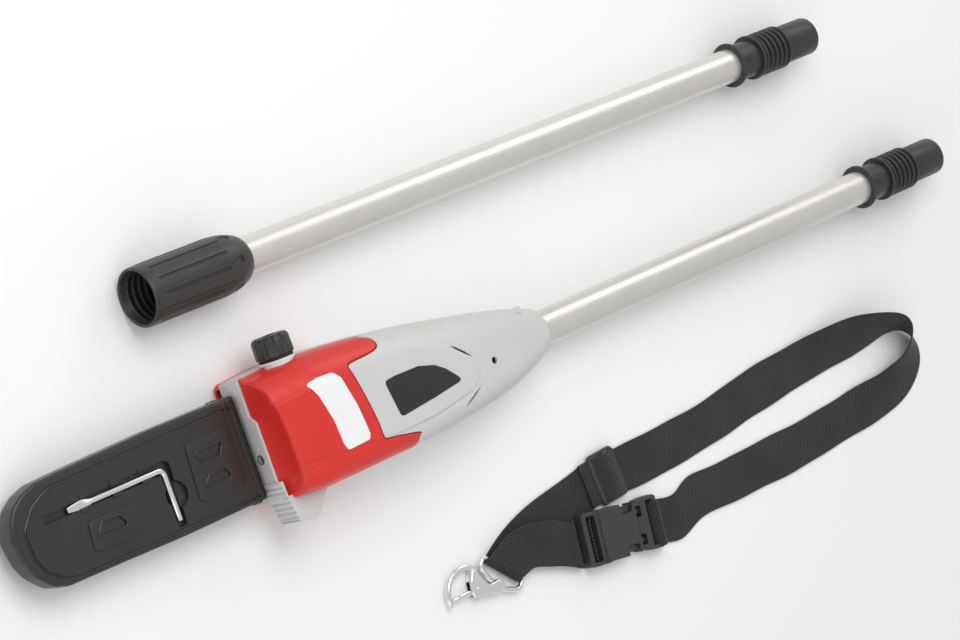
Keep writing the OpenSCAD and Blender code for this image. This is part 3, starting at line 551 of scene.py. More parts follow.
def clouded(name, colour, through):
    """Translucent tank plastic with oil standing in it."""
    f = Finish(name)
    cloud = f.noise(60, 4.0)
    f.set(Base_Color=f.mix(cloud, tinted(colour, 0.85), colour), Roughness=0.3 + cloud * 0.15,
          Transmission_Weight=through)
    f.bump(f.noise(900, 2.0), 0.02, 0.3)
    return f.material


MADE = {}


def material(name):
    """The material of that name, made the first time it is asked for."""
    if name not in MADE:
        tones = bpy.context.scene.saw_colours
        recipes = {
            "grey_shell": lambda n: moulded(n, tones.shell, 0.42, 2400, 0.03, 0.5, 0.03),
            "red_shell": lambda n: moulded(n, tones.shroud, 0.36, 2600, 0.02, 0.5, 0.04),
            "label_black": lambda n: moulded(n, (0.018, 0.017, 0.017), 0.3, 5200, 0.01, 0.5, 0.2),
            "label_white": lambda n: moulded(n, (0.86, 0.87, 0.87), 0.25, 3000, 0.01, 0.5, 0.015),
            "tank_plastic": lambda n: clouded(n, (0.86, 0.84, 0.76), 0.25),
            "neck_white": lambda n: moulded(n, (0.78, 0.79, 0.8), 0.3, 2400, 0.02, 0.5, 0.03),
            "dark_plastic": lambda n: moulded(n, tones.scabbard, 0.33, 2000, 0.03, 0.6, 0.12),
            "black_plastic": lambda n: moulded(n, tones.black, 0.38, 2200, 0.03, 0.5, 0.1),
            "collar_plastic": lambda n: moulded(n, tones.collar, 0.4, 1900, 0.04, 0.55, 0.1),
            "buckle_plastic": lambda n: moulded(n, tones.buckle, 0.36, 2300, 0.03, 0.5, 0.08),
            "anodised_tube": lambda n: metal(n, tones.tube, 0.36, (0.05, 1, 1), 700, 0.012, 0.05, 0.72),
            "cast_plate": lambda n: metal(n, (0.5, 0.5, 0.5), 0.5, (1, 1, 1), 500, 0.08, 0.2),
            "machined_steel": lambda n: metal(n, (0.56, 0.57, 0.58), 0.28, (1, 1, 6), 700),
            "motor_steel": lambda n: metal(n, (0.42, 0.43, 0.45), 0.4, (6, 1, 1), 500, 0.02),
            "bar_steel": lambda n: metal(n, (0.6, 0.61, 0.62), 0.3, (0.04, 1, 1), 1400, 0.015),
            "chain_steel": lambda n: metal(n, (0.33, 0.33, 0.34), 0.33, (1, 1, 1), 800, 0.02, 0.25),
            "zinc_plate": lambda n: metal(n, (0.84, 0.86, 0.87), 0.2, (1, 1, 1), 400, 0.01, 0.1),
            "contact_brass": lambda n: metal(n, (0.78, 0.58, 0.25), 0.25, (1, 1, 1), 700),
            "winding_copper": lambda n: metal(n, (0.72, 0.34, 0.16), 0.4, (1, 12, 12), 400, 0.2, 0.2),
            "wire_sheath": lambda n: moulded(n, (0.16, 0.016, 0.014), 0.5, 1500, 0.04, 0.4),
            "seal_rubber": lambda n: moulded(n, (0.022, 0.022, 0.022), 0.72, 1800, 0.06, 0.3, 0.2),
            "webbing": lambda n: woven(n, tones.webbing, 0.0022, 0.0016),
            "stitching": lambda n: moulded(n, tinted(tones.webbing, 1.6), 0.7, 3000, 0.1, 0.3, 0.2),
            "studio_floor": lambda n: moulded(n, (0.93, 0.93, 0.93), 0.75, 300, 0.01, 0.2, 0.004),
        }
        MADE[name] = recipes[name](name)
    return MADE[name]


def repaint(finish, *nodes):
    """Gives carried-over CAD nodes a material."""
    for node in nodes:
        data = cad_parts[node].data
        data.materials.clear()
        data.materials.append(material(finish))
        data.shade_smooth()
        data.set_sharp_from_angle(angle=math.radians(28))


# ---------- the head's skin ----------

# Share of the head's length, bumper side, cap side, bottom, top, and the corners' radii
STATIONS = np.array([
    [0.000, -38.5, 60.0, -24.25, 44.0, 28, 15, 5],
    [0.128, -42.0, 62.0, -24.25, 48.0, 28, 18, 5],
    [0.410, -41.5, 56.0, -24.25, 48.0, 28, 19, 7],
    [0.600, -38.5, 47.0, -23.75, 44.5, 27, 19, 9],
    [0.790, -33.5, 36.0, -22.25, 36.5, 25, 20, 14],
    [0.930, -25.5, 26.0, -20.8, 26.0, 21, 20, 18],
    [0.975, -21.6, 22.0, -20.4, 22.0, 20, 20, 18],
    [1.000, -20.0, 20.0, -20.0, 20.0, 20, 20, 20]])
CENTRE = (8.0, 6.0)


def centre_at(x):
    """Middle of the head's section at x, where its radial lines start."""
    t = step_up(x, 0.55 * HEAD_LEN, HEAD_LEN)
    return CENTRE[0] * (1 - t), CENTRE[1] * (1 - t)


def skin(x, turn, sink=0.0):
    """Points on the head's skin at x from its front and an angle round its section, sunk inwards."""
    x, turn = np.broadcast_arrays(np.asarray(x, float), np.asarray(turn, float))
    sink = np.broadcast_to(np.asarray(sink, float), x.shape)
    share = np.clip(x / HEAD_LEN, 0, 1)
    yl, yh, zl, zh, rc, rl, rb = (smooth_run(share, STATIONS[:, 0], STATIONS[:, k]) for k in range(1, 8))
    yc, zc = centre_at(x)
    dy, dz = np.cos(turn), np.sin(turn)
    near, far = np.zeros_like(x), np.full_like(x, 90.0)
    for _ in range(26):
        mid = (near + far) / 2
        y, z = yc + mid * dy, zc + mid * dz
        my, mz = (yl + yh) / 2, (zl + zh) / 2
        r = np.where(z < mz, rb, np.where(y > my, rc, rl))
        qy, qz = np.abs(y - my) - (yh - yl) / 2 + r, np.abs(z - mz) - (zh - zl) / 2 + r
        d = np.hypot(np.maximum(qy, 0), np.maximum(qz, 0)) + np.minimum(np.maximum(qy, qz), 0) - r
        out = d > -sink
        far, near = np.where(out, mid, far), np.where(out, near, mid)
    return np.stack([HEAD_X + x, yc + near * dy, zc + near * dz], -1)


def turn_at_height(x, z, side):
    """Angle round the section where the skin crosses a height, on side +1 or -1 of Y."""
    x = np.asarray(x, float)
    a, b = np.full_like(x, -1.5), np.full_like(x, 1.5)
    for _ in range(30):
        mid = (a + b) / 2
        above = skin(x, mid if side > 0 else math.pi - mid)[..., 2] > z
        b, a = np.where(above, mid, b), np.where(above, a, mid)
    return a if side > 0 else math.pi - a


def skin_at(x, y, sink=0.0):
    """The skin's top at a plan position, x from the front and y across."""
    x, y = np.asarray(x, float), np.asarray(y, float)
    a, b = np.full_like(x, 0.12), np.full_like(x, math.pi - 0.12)
    for _ in range(30):
        mid = (a + b) / 2
        right = skin(x, mid, sink)[..., 1] > y
        a, b = np.where(right, mid, a), np.where(right, b, mid)
    return skin(x, a, sink)


# Plan of the seam between the red shroud and the grey shell, from the bumper side over the top
SEAM = [(126, -60), (126, -36), (127, -31.5), (110, -28), (97, -25.5), (90, -23.5), (88.5, -19),
        (88, -8), (85, 12), (81.5, 29), (79.5, 38), (80.5, 41.6), (88, 42.6), (106, 43.4),
        (115, 45.4), (118, 49), (117.5, 53), (113, 57), (110, 64)]
PAD = [(62, 36), (88, 39.5), (133, 37.5), (172, 28), (196, 11), (206, -2), (204, -10), (190, -17),
       (150, -22), (110, -24.5), (86, -24.5), (60, -22)]
LEDGE = [(10, -17.5), (48, -21), (90, -24), (150, -24), (196, -19), (236, -8)]


def seam_plan(shift):
    """The seam moved sideways in plan by shift, towards the rear if positive."""
    line = np.array(SEAM, float)
    fine = curve_through(line, 1.5)
    d = np.gradient(fine, axis=0)
    normal = np.stack([d[:, 1], -d[:, 0]], -1) / np.linalg.norm(d, axis=1, keepdims=True)
    return fine + shift * normal


def relief(x, y, z):
    """How far the skin is sunk or raised: the label's pad, the ledge, the shoulder and the grooves."""
    p = np.stack([x, y], -1)
    edge = to_polyline(p, PAD + PAD[:1])
    pad = step_up(np.where(inside(p, PAD), edge, -edge), -1.2, 1.2) * step_up(x, 74, 92)
    top = step_up(z, 20, 32)
    ledge = to_polyline(p, LEDGE)
    groove = np.exp(-((ledge / 1.5) ** 2)) * step_up(x, 6, 14) * (1 - step_up(x, 150, 230))
    below = step_up(-(y + 17.5 + 0.075 * np.clip(x, 0, 90)), 0, 2.5) * (1 - step_up(x, 100, 190))
    shoulder = step_up(y, 34, 40) * (1 - step_up(x, 26, 52)) * (z > 15)
    return top * (-0.9 * pad + 1.0 * groove + 0.9 * below) + 2.2 * shoulder


def skin_patch(x, turn, seam=None, drop=0.0):
    """Points of a patch of skin with its relief, its edge rounded off towards the seam."""
    base = skin(x, turn)
    sink = relief(x, base[..., 1], base[..., 2]) + drop
    if seam is not None:
        away = to_polyline(np.stack([x, base[..., 1]], -1), [tuple(p) for p in seam])
        sink = sink + np.where(base[..., 2] > 9, 0.8 * (1 - np.clip(away / 1.3, 0, 1)) ** 2, 0)
    return skin(x, turn, sink)


def seam_rows(shift, height, count=110):
    """Fractions round the section and the seam's x at each, for a patch that starts at a height."""
    line = seam_plan(shift)
    x = line[:, 0]
    lo, hi = turn_at_height(x, height, -1), turn_at_height(x, height, 1)
    on = np.array([skin_at(a, b)[1:] for a, b in line])
    yc, zc = centre_at(x)
    turn = np.arctan2(on[:, 1] - zc, on[:, 0] - yc)
    side = (line[:, 1] < -38) | (line[:, 1] > 57)
    share = np.where(side, np.where(line[:, 1] < 0, 0.0, 1.0), (turn - lo) / (hi - lo))
    keep = np.ones(len(share), bool)
    best = -1.0
    for i, s in enumerate(share):
        keep[i] = s > best + 1e-4
        best = max(best, s)
    share, x = np.clip(share[keep], 0, 1), x[keep]
    rows = np.unique(np.concatenate([share, np.linspace(0, 1, count)]))
    return rows, np.interp(rows, share, x)


def ends_dense(n, near=(0.0, 0.25, 0.6, 1.1, 1.8), length=60.0):
    """Fractions 0 to 1 that are close together near both ends."""
    near = np.array(near) / length
    return np.concatenate([near, np.linspace(near[-1], 1 - near[-1], n)[1:-1], 1 - near[::-1]])


def patch(name, rows, x_start, x_end, height, finish, wall, seam=None, columns=44, front=None, drop=0.0):
    """A closed piece of the head's wall over a fan of rows, from x_start to x_end in each row."""
    t = ends_dense(columns, length=max(20.0, float(np.mean(np.abs(x_end - x_start)))))
    x = x_start[:, None] + (x_end - x_start)[:, None] * t[None]
    lo, hi = turn_at_height(x, height, -1), turn_at_height(x, height, 1)
    turn = lo + (hi - lo) * rows[:, None]
    outer = skin_patch(x, turn, seam, drop)
    if front is not None:
        outer = np.concatenate([outer, front(outer[:, -1], outer[:, -3])], 1)
    inward = wall if np.mean(x_end - x_start) < 0 else -wall
    verts, faces = thick_grid(outer, thickened(outer, inward))
    return make(name, verts, faces, finish, finish, 40)


def shroud_front(ridge, before):
    """Rows that turn from the shroud's ridge down its steep front face to the rim."""
    run = np.concatenate([[0], np.cumsum(np.linalg.norm(np.diff(ridge, axis=0), axis=1))])
    share = run / run[-1]
    y = ridge[0, 1] + 1.2 + (ridge[-1, 1] - ridge[0, 1] - 2.4) * share
    z = RIM_TOP + 0.6 + 5.4 * step_up(-y, -30, -24)
    foot = np.stack([np.full_like(y, HEAD_X + 1.4), y, np.minimum(z, ridge[:, 2] - 0.3)], -1)
    ahead = (ridge - before) / np.maximum(np.linalg.norm(ridge - before, axis=1, keepdims=True), 1e-9)
    reach = np.minimum(3.2, 0.4 * np.linalg.norm(foot - ridge, axis=1))[:, None]
    corner = ridge + ahead * reach * 0.8
    down = (foot - corner) / np.maximum(np.linalg.norm(foot - corner, axis=1, keepdims=True), 1e-9)
    after = corner + down * reach
    rows = [(1 - t) ** 2 * ridge + 2 * t * (1 - t) * corner + t * t * after for t in (0.2, 0.4, 0.6, 0.8, 1)]
    for t in (0.12, 0.3, 0.5, 0.7, 0.88, 1.0):
        hollow = 1.6 * math.sin(math.pi * t) * np.array([1.0, 0, 0])
        rows.append(after + (foot - after) * t + hollow * np.clip(reach / 3.2, 0, 1))
    return np.stack(rows, 1)


def ridge_line(rows):
    """How far behind the head's front the shroud's ridge runs, row by row."""
    back = smooth_run(rows, [0, 0.06, 0.2, 0.5, 0.66, 0.72, 0.78, 0.86, 1.0],
                      [3.0, 7.0, 9.5, 9.0, 7.5, 5.0, 5.5, 3.0, 2.5])
    return back


def build_shroud():
    rows, x = seam_rows(-0.35, RIM_TOP + 0.2)
    seam = seam_plan(-0.35)
    obj = patch("red_shroud_skin", rows, x, ridge_line(rows), RIM_TOP + 0.2, "red_shell", 2.4, seam,
                64, shroud_front)
    cut(obj, neck_cutter())
    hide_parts("red_shroud")
    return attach(obj, "saw_head")


def neck_cutter():
    neck = middle("oil_neck")
    return rod((neck[0], neck[2]), 14.3, 40, 80, "y")


def rear_lip():
    """Rows that round the head's rear end off and turn it in to the tube."""
    def rows(last, before):
        out = []
        for x, r in ((-2.2, 19.75), (-1.0, 19.2), (-0.3, 18.3), (0, 17.2), (0, 15.4)):
            a = np.arctan2(last[:, 2], last[:, 1])
            out.append(np.stack([np.full(len(last), HEAD_X + HEAD_LEN + x), r * np.cos(a), r * np.sin(a)],
                                -1))
        return np.stack(out, 1)
    return rows


def build_upper_shell():
    rows, x = seam_rows(0.35, SPLIT_Z + 0.3)
    seam = seam_plan(0.35)
    end = np.full_like(x, HEAD_LEN - 3.4)
    back = patch("back", rows, x, end, SPLIT_Z + 0.3, "grey_shell", 2.4, seam, 110, rear_lip())
    sides = []
    for side in (-1, 1):
        xs = np.linspace(3.0, 134.0, 60)
        a, b = turn_at_height(xs, SPLIT_Z + 0.3, side), turn_at_height(xs, RIM_TOP - 0.1, side)
        t = np.linspace(0, 1, 7)
        outer = skin(xs[:, None], a[:, None] + (b - a)[:, None] * t)
        outer = outer if side < 0 else outer[:, ::-1]
        verts, faces = thick_grid(outer, thickened(outer, 2.4))
        sides.append(make("side", verts, faces, "grey_shell", "grey_shell", 40))
    rear = HEAD_X + HEAD_LEN
    cut(back, rod((rear - 85, -3), 3.1, 20, 60), solver="MANIFOLD")
    for far, y, lean, length, width in ((-118, 15, -38, 28, 2.6), (-121, -22.5, 24, 27, 2.2)):
        slit = [(-length / 2, 0), (-length / 4, width * 0.42), (length / 8, width * 0.5), (length / 2, 0),
                (length / 8, -width * 0.3), (-length / 4, -width * 0.3)]
        c, s = math.cos(math.radians(lean)), math.sin(math.radians(lean))
        line = [(rear + far + u * c - v * s, y + u * s + v * c) for u, v in slit]
        cut(back, cutter(line, 15, 60), solver="MANIFOLD")
    cut(sides[1], neck_cutter())
    obj = joined("grey_shell_upper_skin", [back, *sides], "grey_shell", "grey_shell", 40)
    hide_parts("head_shell_upper")
    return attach(obj, "saw_head")


def belly(name, x_from, x_to, top, columns, finish, front_round=0.0):
    """A closed wall round the underside of the head, from a height on one side to the other."""
    xs = np.linspace(x_from, x_to, columns)
    if front_round:
        xs = np.concatenate([x_from + np.array([0, 0.3, 0.9, 1.8]) * front_round / 2,
                             xs[xs > x_from + front_round]])
    a = turn_at_height(xs, top, -1)
    b = turn_at_height(xs, top, 1) + 2 * math.pi
    t = np.linspace(0, 1, 90)
    sink = front_round * (1 - np.sqrt(1 - (1 - np.clip((xs - x_from) / max(front_round, 0.1), 0, 1)) ** 2))
    outer = skin(xs[:, None], a[:, None] + (b - a)[:, None] * t, sink[:, None] if front_round else 0.0)
    verts, faces = thick_grid(outer, thickened(outer, -2.4))
    return make(name, verts, faces, finish, finish, 40)


def build_lower_shell():
    rear = belly("rear", 100.0, HEAD_LEN - 3.4, SPLIT_Z, 70, "grey_shell")
    parts = [rear]
    last = np.linspace(math.pi - 0.1, 2 * math.pi + 0.1, 60)
    lip = []
    for x, r in ((-3.4, 20.0), (-2.2, 19.75), (-1.0, 19.2), (-0.3, 18.3), (0, 17.2), (0, 15.4)):
        lip.append(np.stack([np.full(60, HEAD_X + HEAD_LEN + x), r * np.cos(last), r * np.sin(last)], -1))
    outer = np.stack(lip, 0)
    parts.append(make("lip", *thick_grid(outer, thickened(outer, -1.5)), "grey_shell", "grey_shell", 40))
    for side in (-1, 1):
        xs = np.linspace(3.0, 100.0, 40)
        a, b = turn_at_height(xs, COVER_TOP + 0.2, side), turn_at_height(xs, SPLIT_Z, side)
        outer = skin(xs[:, None], a[:, None] + (b - a)[:, None] * np.linspace(0, 1, 8))
        outer = outer if side < 0 else outer[:, ::-1]
        parts.append(make("side", *thick_grid(outer, thickened(outer, 2.4)), "grey_shell", "grey_shell", 40))
    obj = joined("grey_shell_lower_skin", parts, "grey_shell", "grey_shell", 40)
    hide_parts("head_shell_lower")
    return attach(obj, "saw_head")


def build_rim():
    """The light rim round the bar's opening, stepped up beside the shroud."""
    top = RIM_TOP
    low_y, high_y = -38.4, 59.6
    outline = rounded([(low_y, COVER_TOP), (low_y, top + 6), (25, top + 6), (30, top), (high_y, top),
                       (high_y, COVER_TOP), (34, COVER_TOP), (34, -3.2), (-20, -3.2), (-20, COVER_TOP)],
                      [0.6, 3, 1.2, 1.2, 3, 0.6, 0.6, 2.5, 2.5, 0.6])
    rim = prism("front_rim", outline, HEAD_X - 0.4, HEAD_X + 5.5, "grey_shell", "grey_shell", "x", 1.1, 4)
    screw = middle("tension_screw")
    cut(rim, rod((screw[1], screw[2]), 3.5, HEAD_X - 3, HEAD_X + 8, "x"))
    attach(rim, "saw_head")
    ring = [(math.cos(t), math.sin(t)) for t in np.linspace(0, 2 * math.pi, 40, endpoint=False)]
    path = [(HEAD_X - 0.3, screw[1] + 3.5 * c, screw[2] + 3.5 * s) for c, s in ring]
    eyelet = swept("tension_screw_eyelet", path, 0.45, "black_plastic", "black_plastic", 10, True)
    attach(eyelet, "saw_head")
    pip = lathe("rim_pip", [(-0.9, 0.05), (-0.8, 0.7), (-0.3, 1.05), (0.4, 1.1), (0.4, 0.05)],
                (HEAD_X - 0.2, screw[1] + 8.3, screw[2] + 0.2), "grey_shell", "grey_shell", 24)
    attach(pip, "saw_head")


def build_cover():
    wall = belly("wall", 0.6, 99.6, COVER_TOP - 0.2, 50, "red_shell", 4.0)
    face = [skin(np.array([1.8]), np.array([a]))[0][1:] for a in
            np.linspace(float(turn_at_height(1.8, COVER_TOP - 0.2, -1)),
                        float(turn_at_height(1.8, COVER_TOP - 0.2, 1)) + 2 * math.pi, 60)]
    front = prism("face", [(float(y) * 0.985 + 0.15, float(z) * 0.985 - 0.2) for y, z in face],
                  HEAD_X + 1.4, HEAD_X + 4.0, "red_shell", "red_shell", "x", 0.9, 3)
    obj = joined("chain_cover_skin", [wall, front], "red_shell", "red_shell", 40)
    nut = middle("cover_nut")
    cut(obj, rod((nut[0], nut[1]), 10.5, -40, -10))
    cup = [(-6.4, 4.6), (-6.4, 10.4), (0.2, 10.6), (0.4, 11.2), (0.1, 11.9), (-0.6, 12), (-7.6, 12),
           (-7.6, 4.6)]
    well = lathe("nut_well", cup, (0, 0, 0), "red_shell", "red_shell", 64)
    well.data.transform(Matrix.Rotation(math.radians(90), 4, "Y"))
    well.data.transform(Matrix.Translation((nut[0] * MM, nut[1] * MM, (FLOOR_Z + 0.3) * MM)))
    obj = joined("chain_cover_skin", [obj, well], "red_shell", "red_shell", 40)
    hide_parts("chain_cover")
    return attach(obj, "saw_head")


def build_bumper():
    """The ribbed bumper at the corner of the rim, with its smooth foot."""
    box_low = low("bumper_spike")
    y, ribs, pitch = -23.5, 8, 4.3
    face = []
    for i in range(ribs):
        for t in np.linspace(0.08, 0.92, 7):
            d = (i + t) * pitch
            face.append((HEAD_X - 1.6 + 0.2 * d - 1.6 * math.sin(math.pi * t), y - d))
    foot = rounded([(HEAD_X + 3, y - ribs * pitch), (HEAD_X + 18, box_low[1]), (HEAD_X + 25, box_low[1] + 3),
                    (HEAD_X + 40, -40), (HEAD_X + 30, -36), (HEAD_X + 1, -36), (HEAD_X + 0.5, y)],
                   [1.5, 3, 5, 1, 0, 0, 0])
    obj = prism("bumper_spike_ribbed", face + foot, -1.0, 24.0, "grey_shell", "grey_shell", "z", 0.5, 2, 50)
    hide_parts("bumper_spike")
    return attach(obj, "saw_head")


def decal(name, outline, finish, proud, node, curl=0.5):
    """A thin plate that follows the skin inside a closed plan outline."""
    outline = np.array(outline)
    centre = outline.mean(0)
    rings = [(1.0, -1.0), (1.0, proud - curl), (0.995, proud - curl * 0.4), (0.985, proud - curl * 0.1),
             (0.97, proud), (0.85, proud), (0.7, proud), (0.5, proud), (0.3, proud), (0.12, proud)]
    verts = []
    for share, rise in rings:
        p = centre + (outline - centre) * share
        base = skin_at(p[:, 0], p[:, 1])
        sink = relief(p[:, 0], base[:, 1], base[:, 2])
        turn = np.arctan2(base[:, 2] - centre_at(p[:, 0])[1], base[:, 1] - centre_at(p[:, 0])[0])
        verts.append(skin(p[:, 0], turn, sink - rise))
    verts = np.array(verts)
    n, m = verts.shape[:2]
    faces = grid_faces(n, m, loop=True) + [tuple(range((n - 1) * m, n * m)), tuple(range(m))[::-1]]
    obj = make(name, verts.reshape(-1, 3), faces, finish, finish, 60)
    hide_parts(node)
    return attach(obj, "saw_head")


def build_plates():
    label = rounded([(106, 18), (118, 19), (143, 18.5), (160, 14), (171, 7.5), (185, -5.5), (150, -9),
                     (111, -12.2)],
                    [3.5, 1, 6, 8, 6, 3, 12, 4])
    decal("label_plate_blank", label, "label_black", 0.55, "label_plate")
    window = rounded([(34.5, 41), (46, 42), (62, 41), (68, 35), (74.5, 10), (77, -14), (75, -18.5),
                      (52, -19.5),
                      (49.5, -14), (48, 6), (42, 28)], [2.5, 1, 5, 5, 20, 4, 3, 3, 4, 20, 16])
    decal("window_plate_blank", window, "label_white", 0.45, "label_window")


def build_lugs():
    """The catch on the cap's side and the hanging lug under the head's rear."""
    rear = HEAD_X + HEAD_LEN
    catch = prism("shell_catch", rounded([(-8, -3), (-6, 3), (7, 3), (9, -3)], 1.6), 0, 5, "grey_shell",
                  "grey_shell", "z", 1.2, 3)
    catch.data.transform(Matrix.Translation(((rear - 33) * MM, 24.5 * MM, 17 * MM)))
    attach(catch, "saw_head")
    outline = rounded([(-12, 6), (8, 6), (9, -6), (3, -10), (-6, -9)], [1, 2, 4, 3.5, 4])
    lug = prism("hanging_lug", [(rear - 30 + u, -20 + v) for u, v in outline], -6, 8, "grey_shell",
                "grey_shell",
                "z", 1.5, 4)
    hole = [(rear - 30.5 + 1.8 * math.cos(t), -25.2 + 1.8 * math.sin(t)) for t in np.linspace(0,
            2 * math.pi, 24, endpoint=False)]
    cut(lug, cutter(hole, -10, 12))
    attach(lug, "saw_head")


# ---------- caps, plugs and collar ----------

def build_cap():
    """Oil cap with broad flutes and a cross of finger dents on its top."""
    a, b = low("oil_cap"), high("oil_cap")
    r, h = (b[0] - a[0]) / 2, b[1] - a[1]
    centre = middle("oil_cap")
    profile = [(0.0, 11.4), (0.0, r - 0.9), (0.5, r - 0.3), (1.2, r), (h - 3.6, r - 0.2), (h - 2.2, r - 0.5),
               (h - 1.0, r - 1.3), (h - 0.3, r - 2.4), (h, r - 3.8), (h, 7.0), (h - 0.4, 6.2), (h - 0.9, 5.6),
               (h - 0.9, 0.05), (h - 4, 0.05), (h - 4, 11.4)]

    def flutes(x, radius, turn):
        wave = np.clip(np.cos(turn * 12) - 0.55, 0, 1) / 0.45
        body = step_up(x, 0.6, 2.0) * (radius > r - 3)
        return radius - 1.5 * wave * body

    obj = lathe("oil_cap_fluted", profile, (0, 0, 0), "black_plastic", "black_plastic", 240, flutes, 40)
    turn = Matrix.Rotation(math.radians(90), 4, "Z")
    obj.data.transform(turn)
    obj.data.transform(Matrix.Translation((centre[0] * MM, a[1] * MM, centre[2] * MM)))
    for k in range(4):
        a0 = math.radians(45 + 90 * k)
        bar = [(u * math.cos(a0) - v * math.sin(a0), u * math.sin(a0) + v * math.cos(a0))
               for u, v in rounded([(5.5, -1.5), (11.5, -2), (11.5, 2), (5.5, 1.5)], 1)]
        cut(obj, cutter([(centre[0] + u, centre[2] + v) for u, v in bar], b[1] - 0.9, b[1] + 4, "y"),
            angle=40)
    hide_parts("oil_cap")
    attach(obj, "oil_cap")
    n0, n1 = low("oil_neck"), high("oil_neck")
    step = n1[1] - n0[1] - 10
    neck = lathe("oil_neck_ring", [(0, 9), (0, 13.9), (step - 2.2, 13.9), (step - 2.0, 14.6),
                                   (step - 0.8, 14.7),
                                   (step - 0.2, 14.3), (step, 13.4), (step, 10.95), (step + 2, 10.95),
                                   (step + 2.6, 11.0), (step + 9.4, 10.9), (step + 10, 10.5), (step + 10, 9)],
                 (0, 0, 0), "neck_white", "tank_plastic", 96)
    neck.data.transform(turn)
    neck.data.transform(Matrix.Translation((centre[0] * MM, n0[1] * MM, centre[2] * MM)))
    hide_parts("oil_neck")
    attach(neck, "saw_head")
    repaint("seal_rubber", "oil_cap_seal")


def plug_profile(axis_r):
    """Profile of a plug back from its end face: smooth end, thread rings, flanges, sleeve and stub."""
    ring_n, pitch, smooth = 6, 6.2, 38.0
    r = axis_r
    out = [(0, 12.2), (0, r - 1.4), (-0.3, r - 0.7), (-1.0, r - 0.15), (-2.2, r), (-smooth + 1.5, r),
           (-smooth, r - 0.5)]
    x = -smooth
    for i in range(ring_n):
        mid = x - pitch * (i + 0.5)
        out += [(mid + 2.1, r - 0.7), (mid + 1.75, r + 0.9), (mid + 1.2, r + 2.0), (mid + 0.5, r + 2.4),
                (mid - 0.5, r + 2.4), (mid - 1.2, r + 2.0), (mid - 1.75, r + 0.9), (mid - 2.1, r - 0.7)]
    x -= pitch * ring_n
    for edge in (x, x - 3 - 24):
        out += [(edge, r - 0.6), (edge - 0.1, r + 2.2), (edge - 0.6, r + 2.9), (edge - 1.5, r + 3),
                (edge - 2.4, r + 2.9),
                (edge - 2.9, r + 2.2), (edge - 3, r - 0.6)]
    out += [(edge - 3, 13.4), (edge - 20, 13.4), (edge - 21, 12.9), (edge - 21, 6), (-30, 6), (-30, 12),
            (-1.4, 12), (-0.5, 12.05)]
    return out


def build_poles():
    for name, node, body in (("saw_plug_ringed", "saw_plug", "saw_head"),
                             ("extension_plug_ringed", "ext_plug", "extension")):
        a, b = low(node), high(node)
        centre = (b[0], (a[1] + b[1]) / 2, (a[2] + b[2]) / 2)
        obj = lathe(name, plug_profile(17.0), centre, "black_plastic", "black_plastic", 96, angle=32)
        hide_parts(node)
        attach(obj, body)
        for k, x in ((0, -96.0), (1, -82.0)):
            if k == 0:
                arrow = [(-3.2, -1.2), (0.2, -1.2), (0.2, -2.8), (3.6, 0), (0.2, 2.8), (0.2, 1.2),
                         (-3.2, 1.2)]
                plate = prism(name + "_arrow", [(centre[0] + x + 3 + u, centre[1] + v) for u, v in arrow],
                              centre[2] + 16.1, centre[2] + 16.9, "black_plastic", "black_plastic", "z",
                              0.2, 2)
                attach(plate, body)
    repaint("anodised_tube", "saw_tube", "ext_tube")
    repaint("contact_brass", "plug_contacts", "ext_plug_contacts", "ext_socket_contacts")
    repaint("wire_sheath", "saw_wire", "ext_wire")
    repaint("seal_rubber", "slip_ring")
    a, b = low("ext_socket"), high("ext_socket")
    c = middle("ext_socket")
    length = b[0] - a[0]
    socket = lathe("socket_liner", [(0.6, 17.2), (0, 17.8), (0, 19.3), (0.6, 19.9), (length - 23, 19.9),
                                    (length - 23, 13.4),
                                    (length, 13.4), (length, 6), (40, 6), (40, 17.2)],
                   (a[0], c[1], c[2]), "black_plastic", "black_plastic", 96)
    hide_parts("ext_socket")
    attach(socket, "extension")


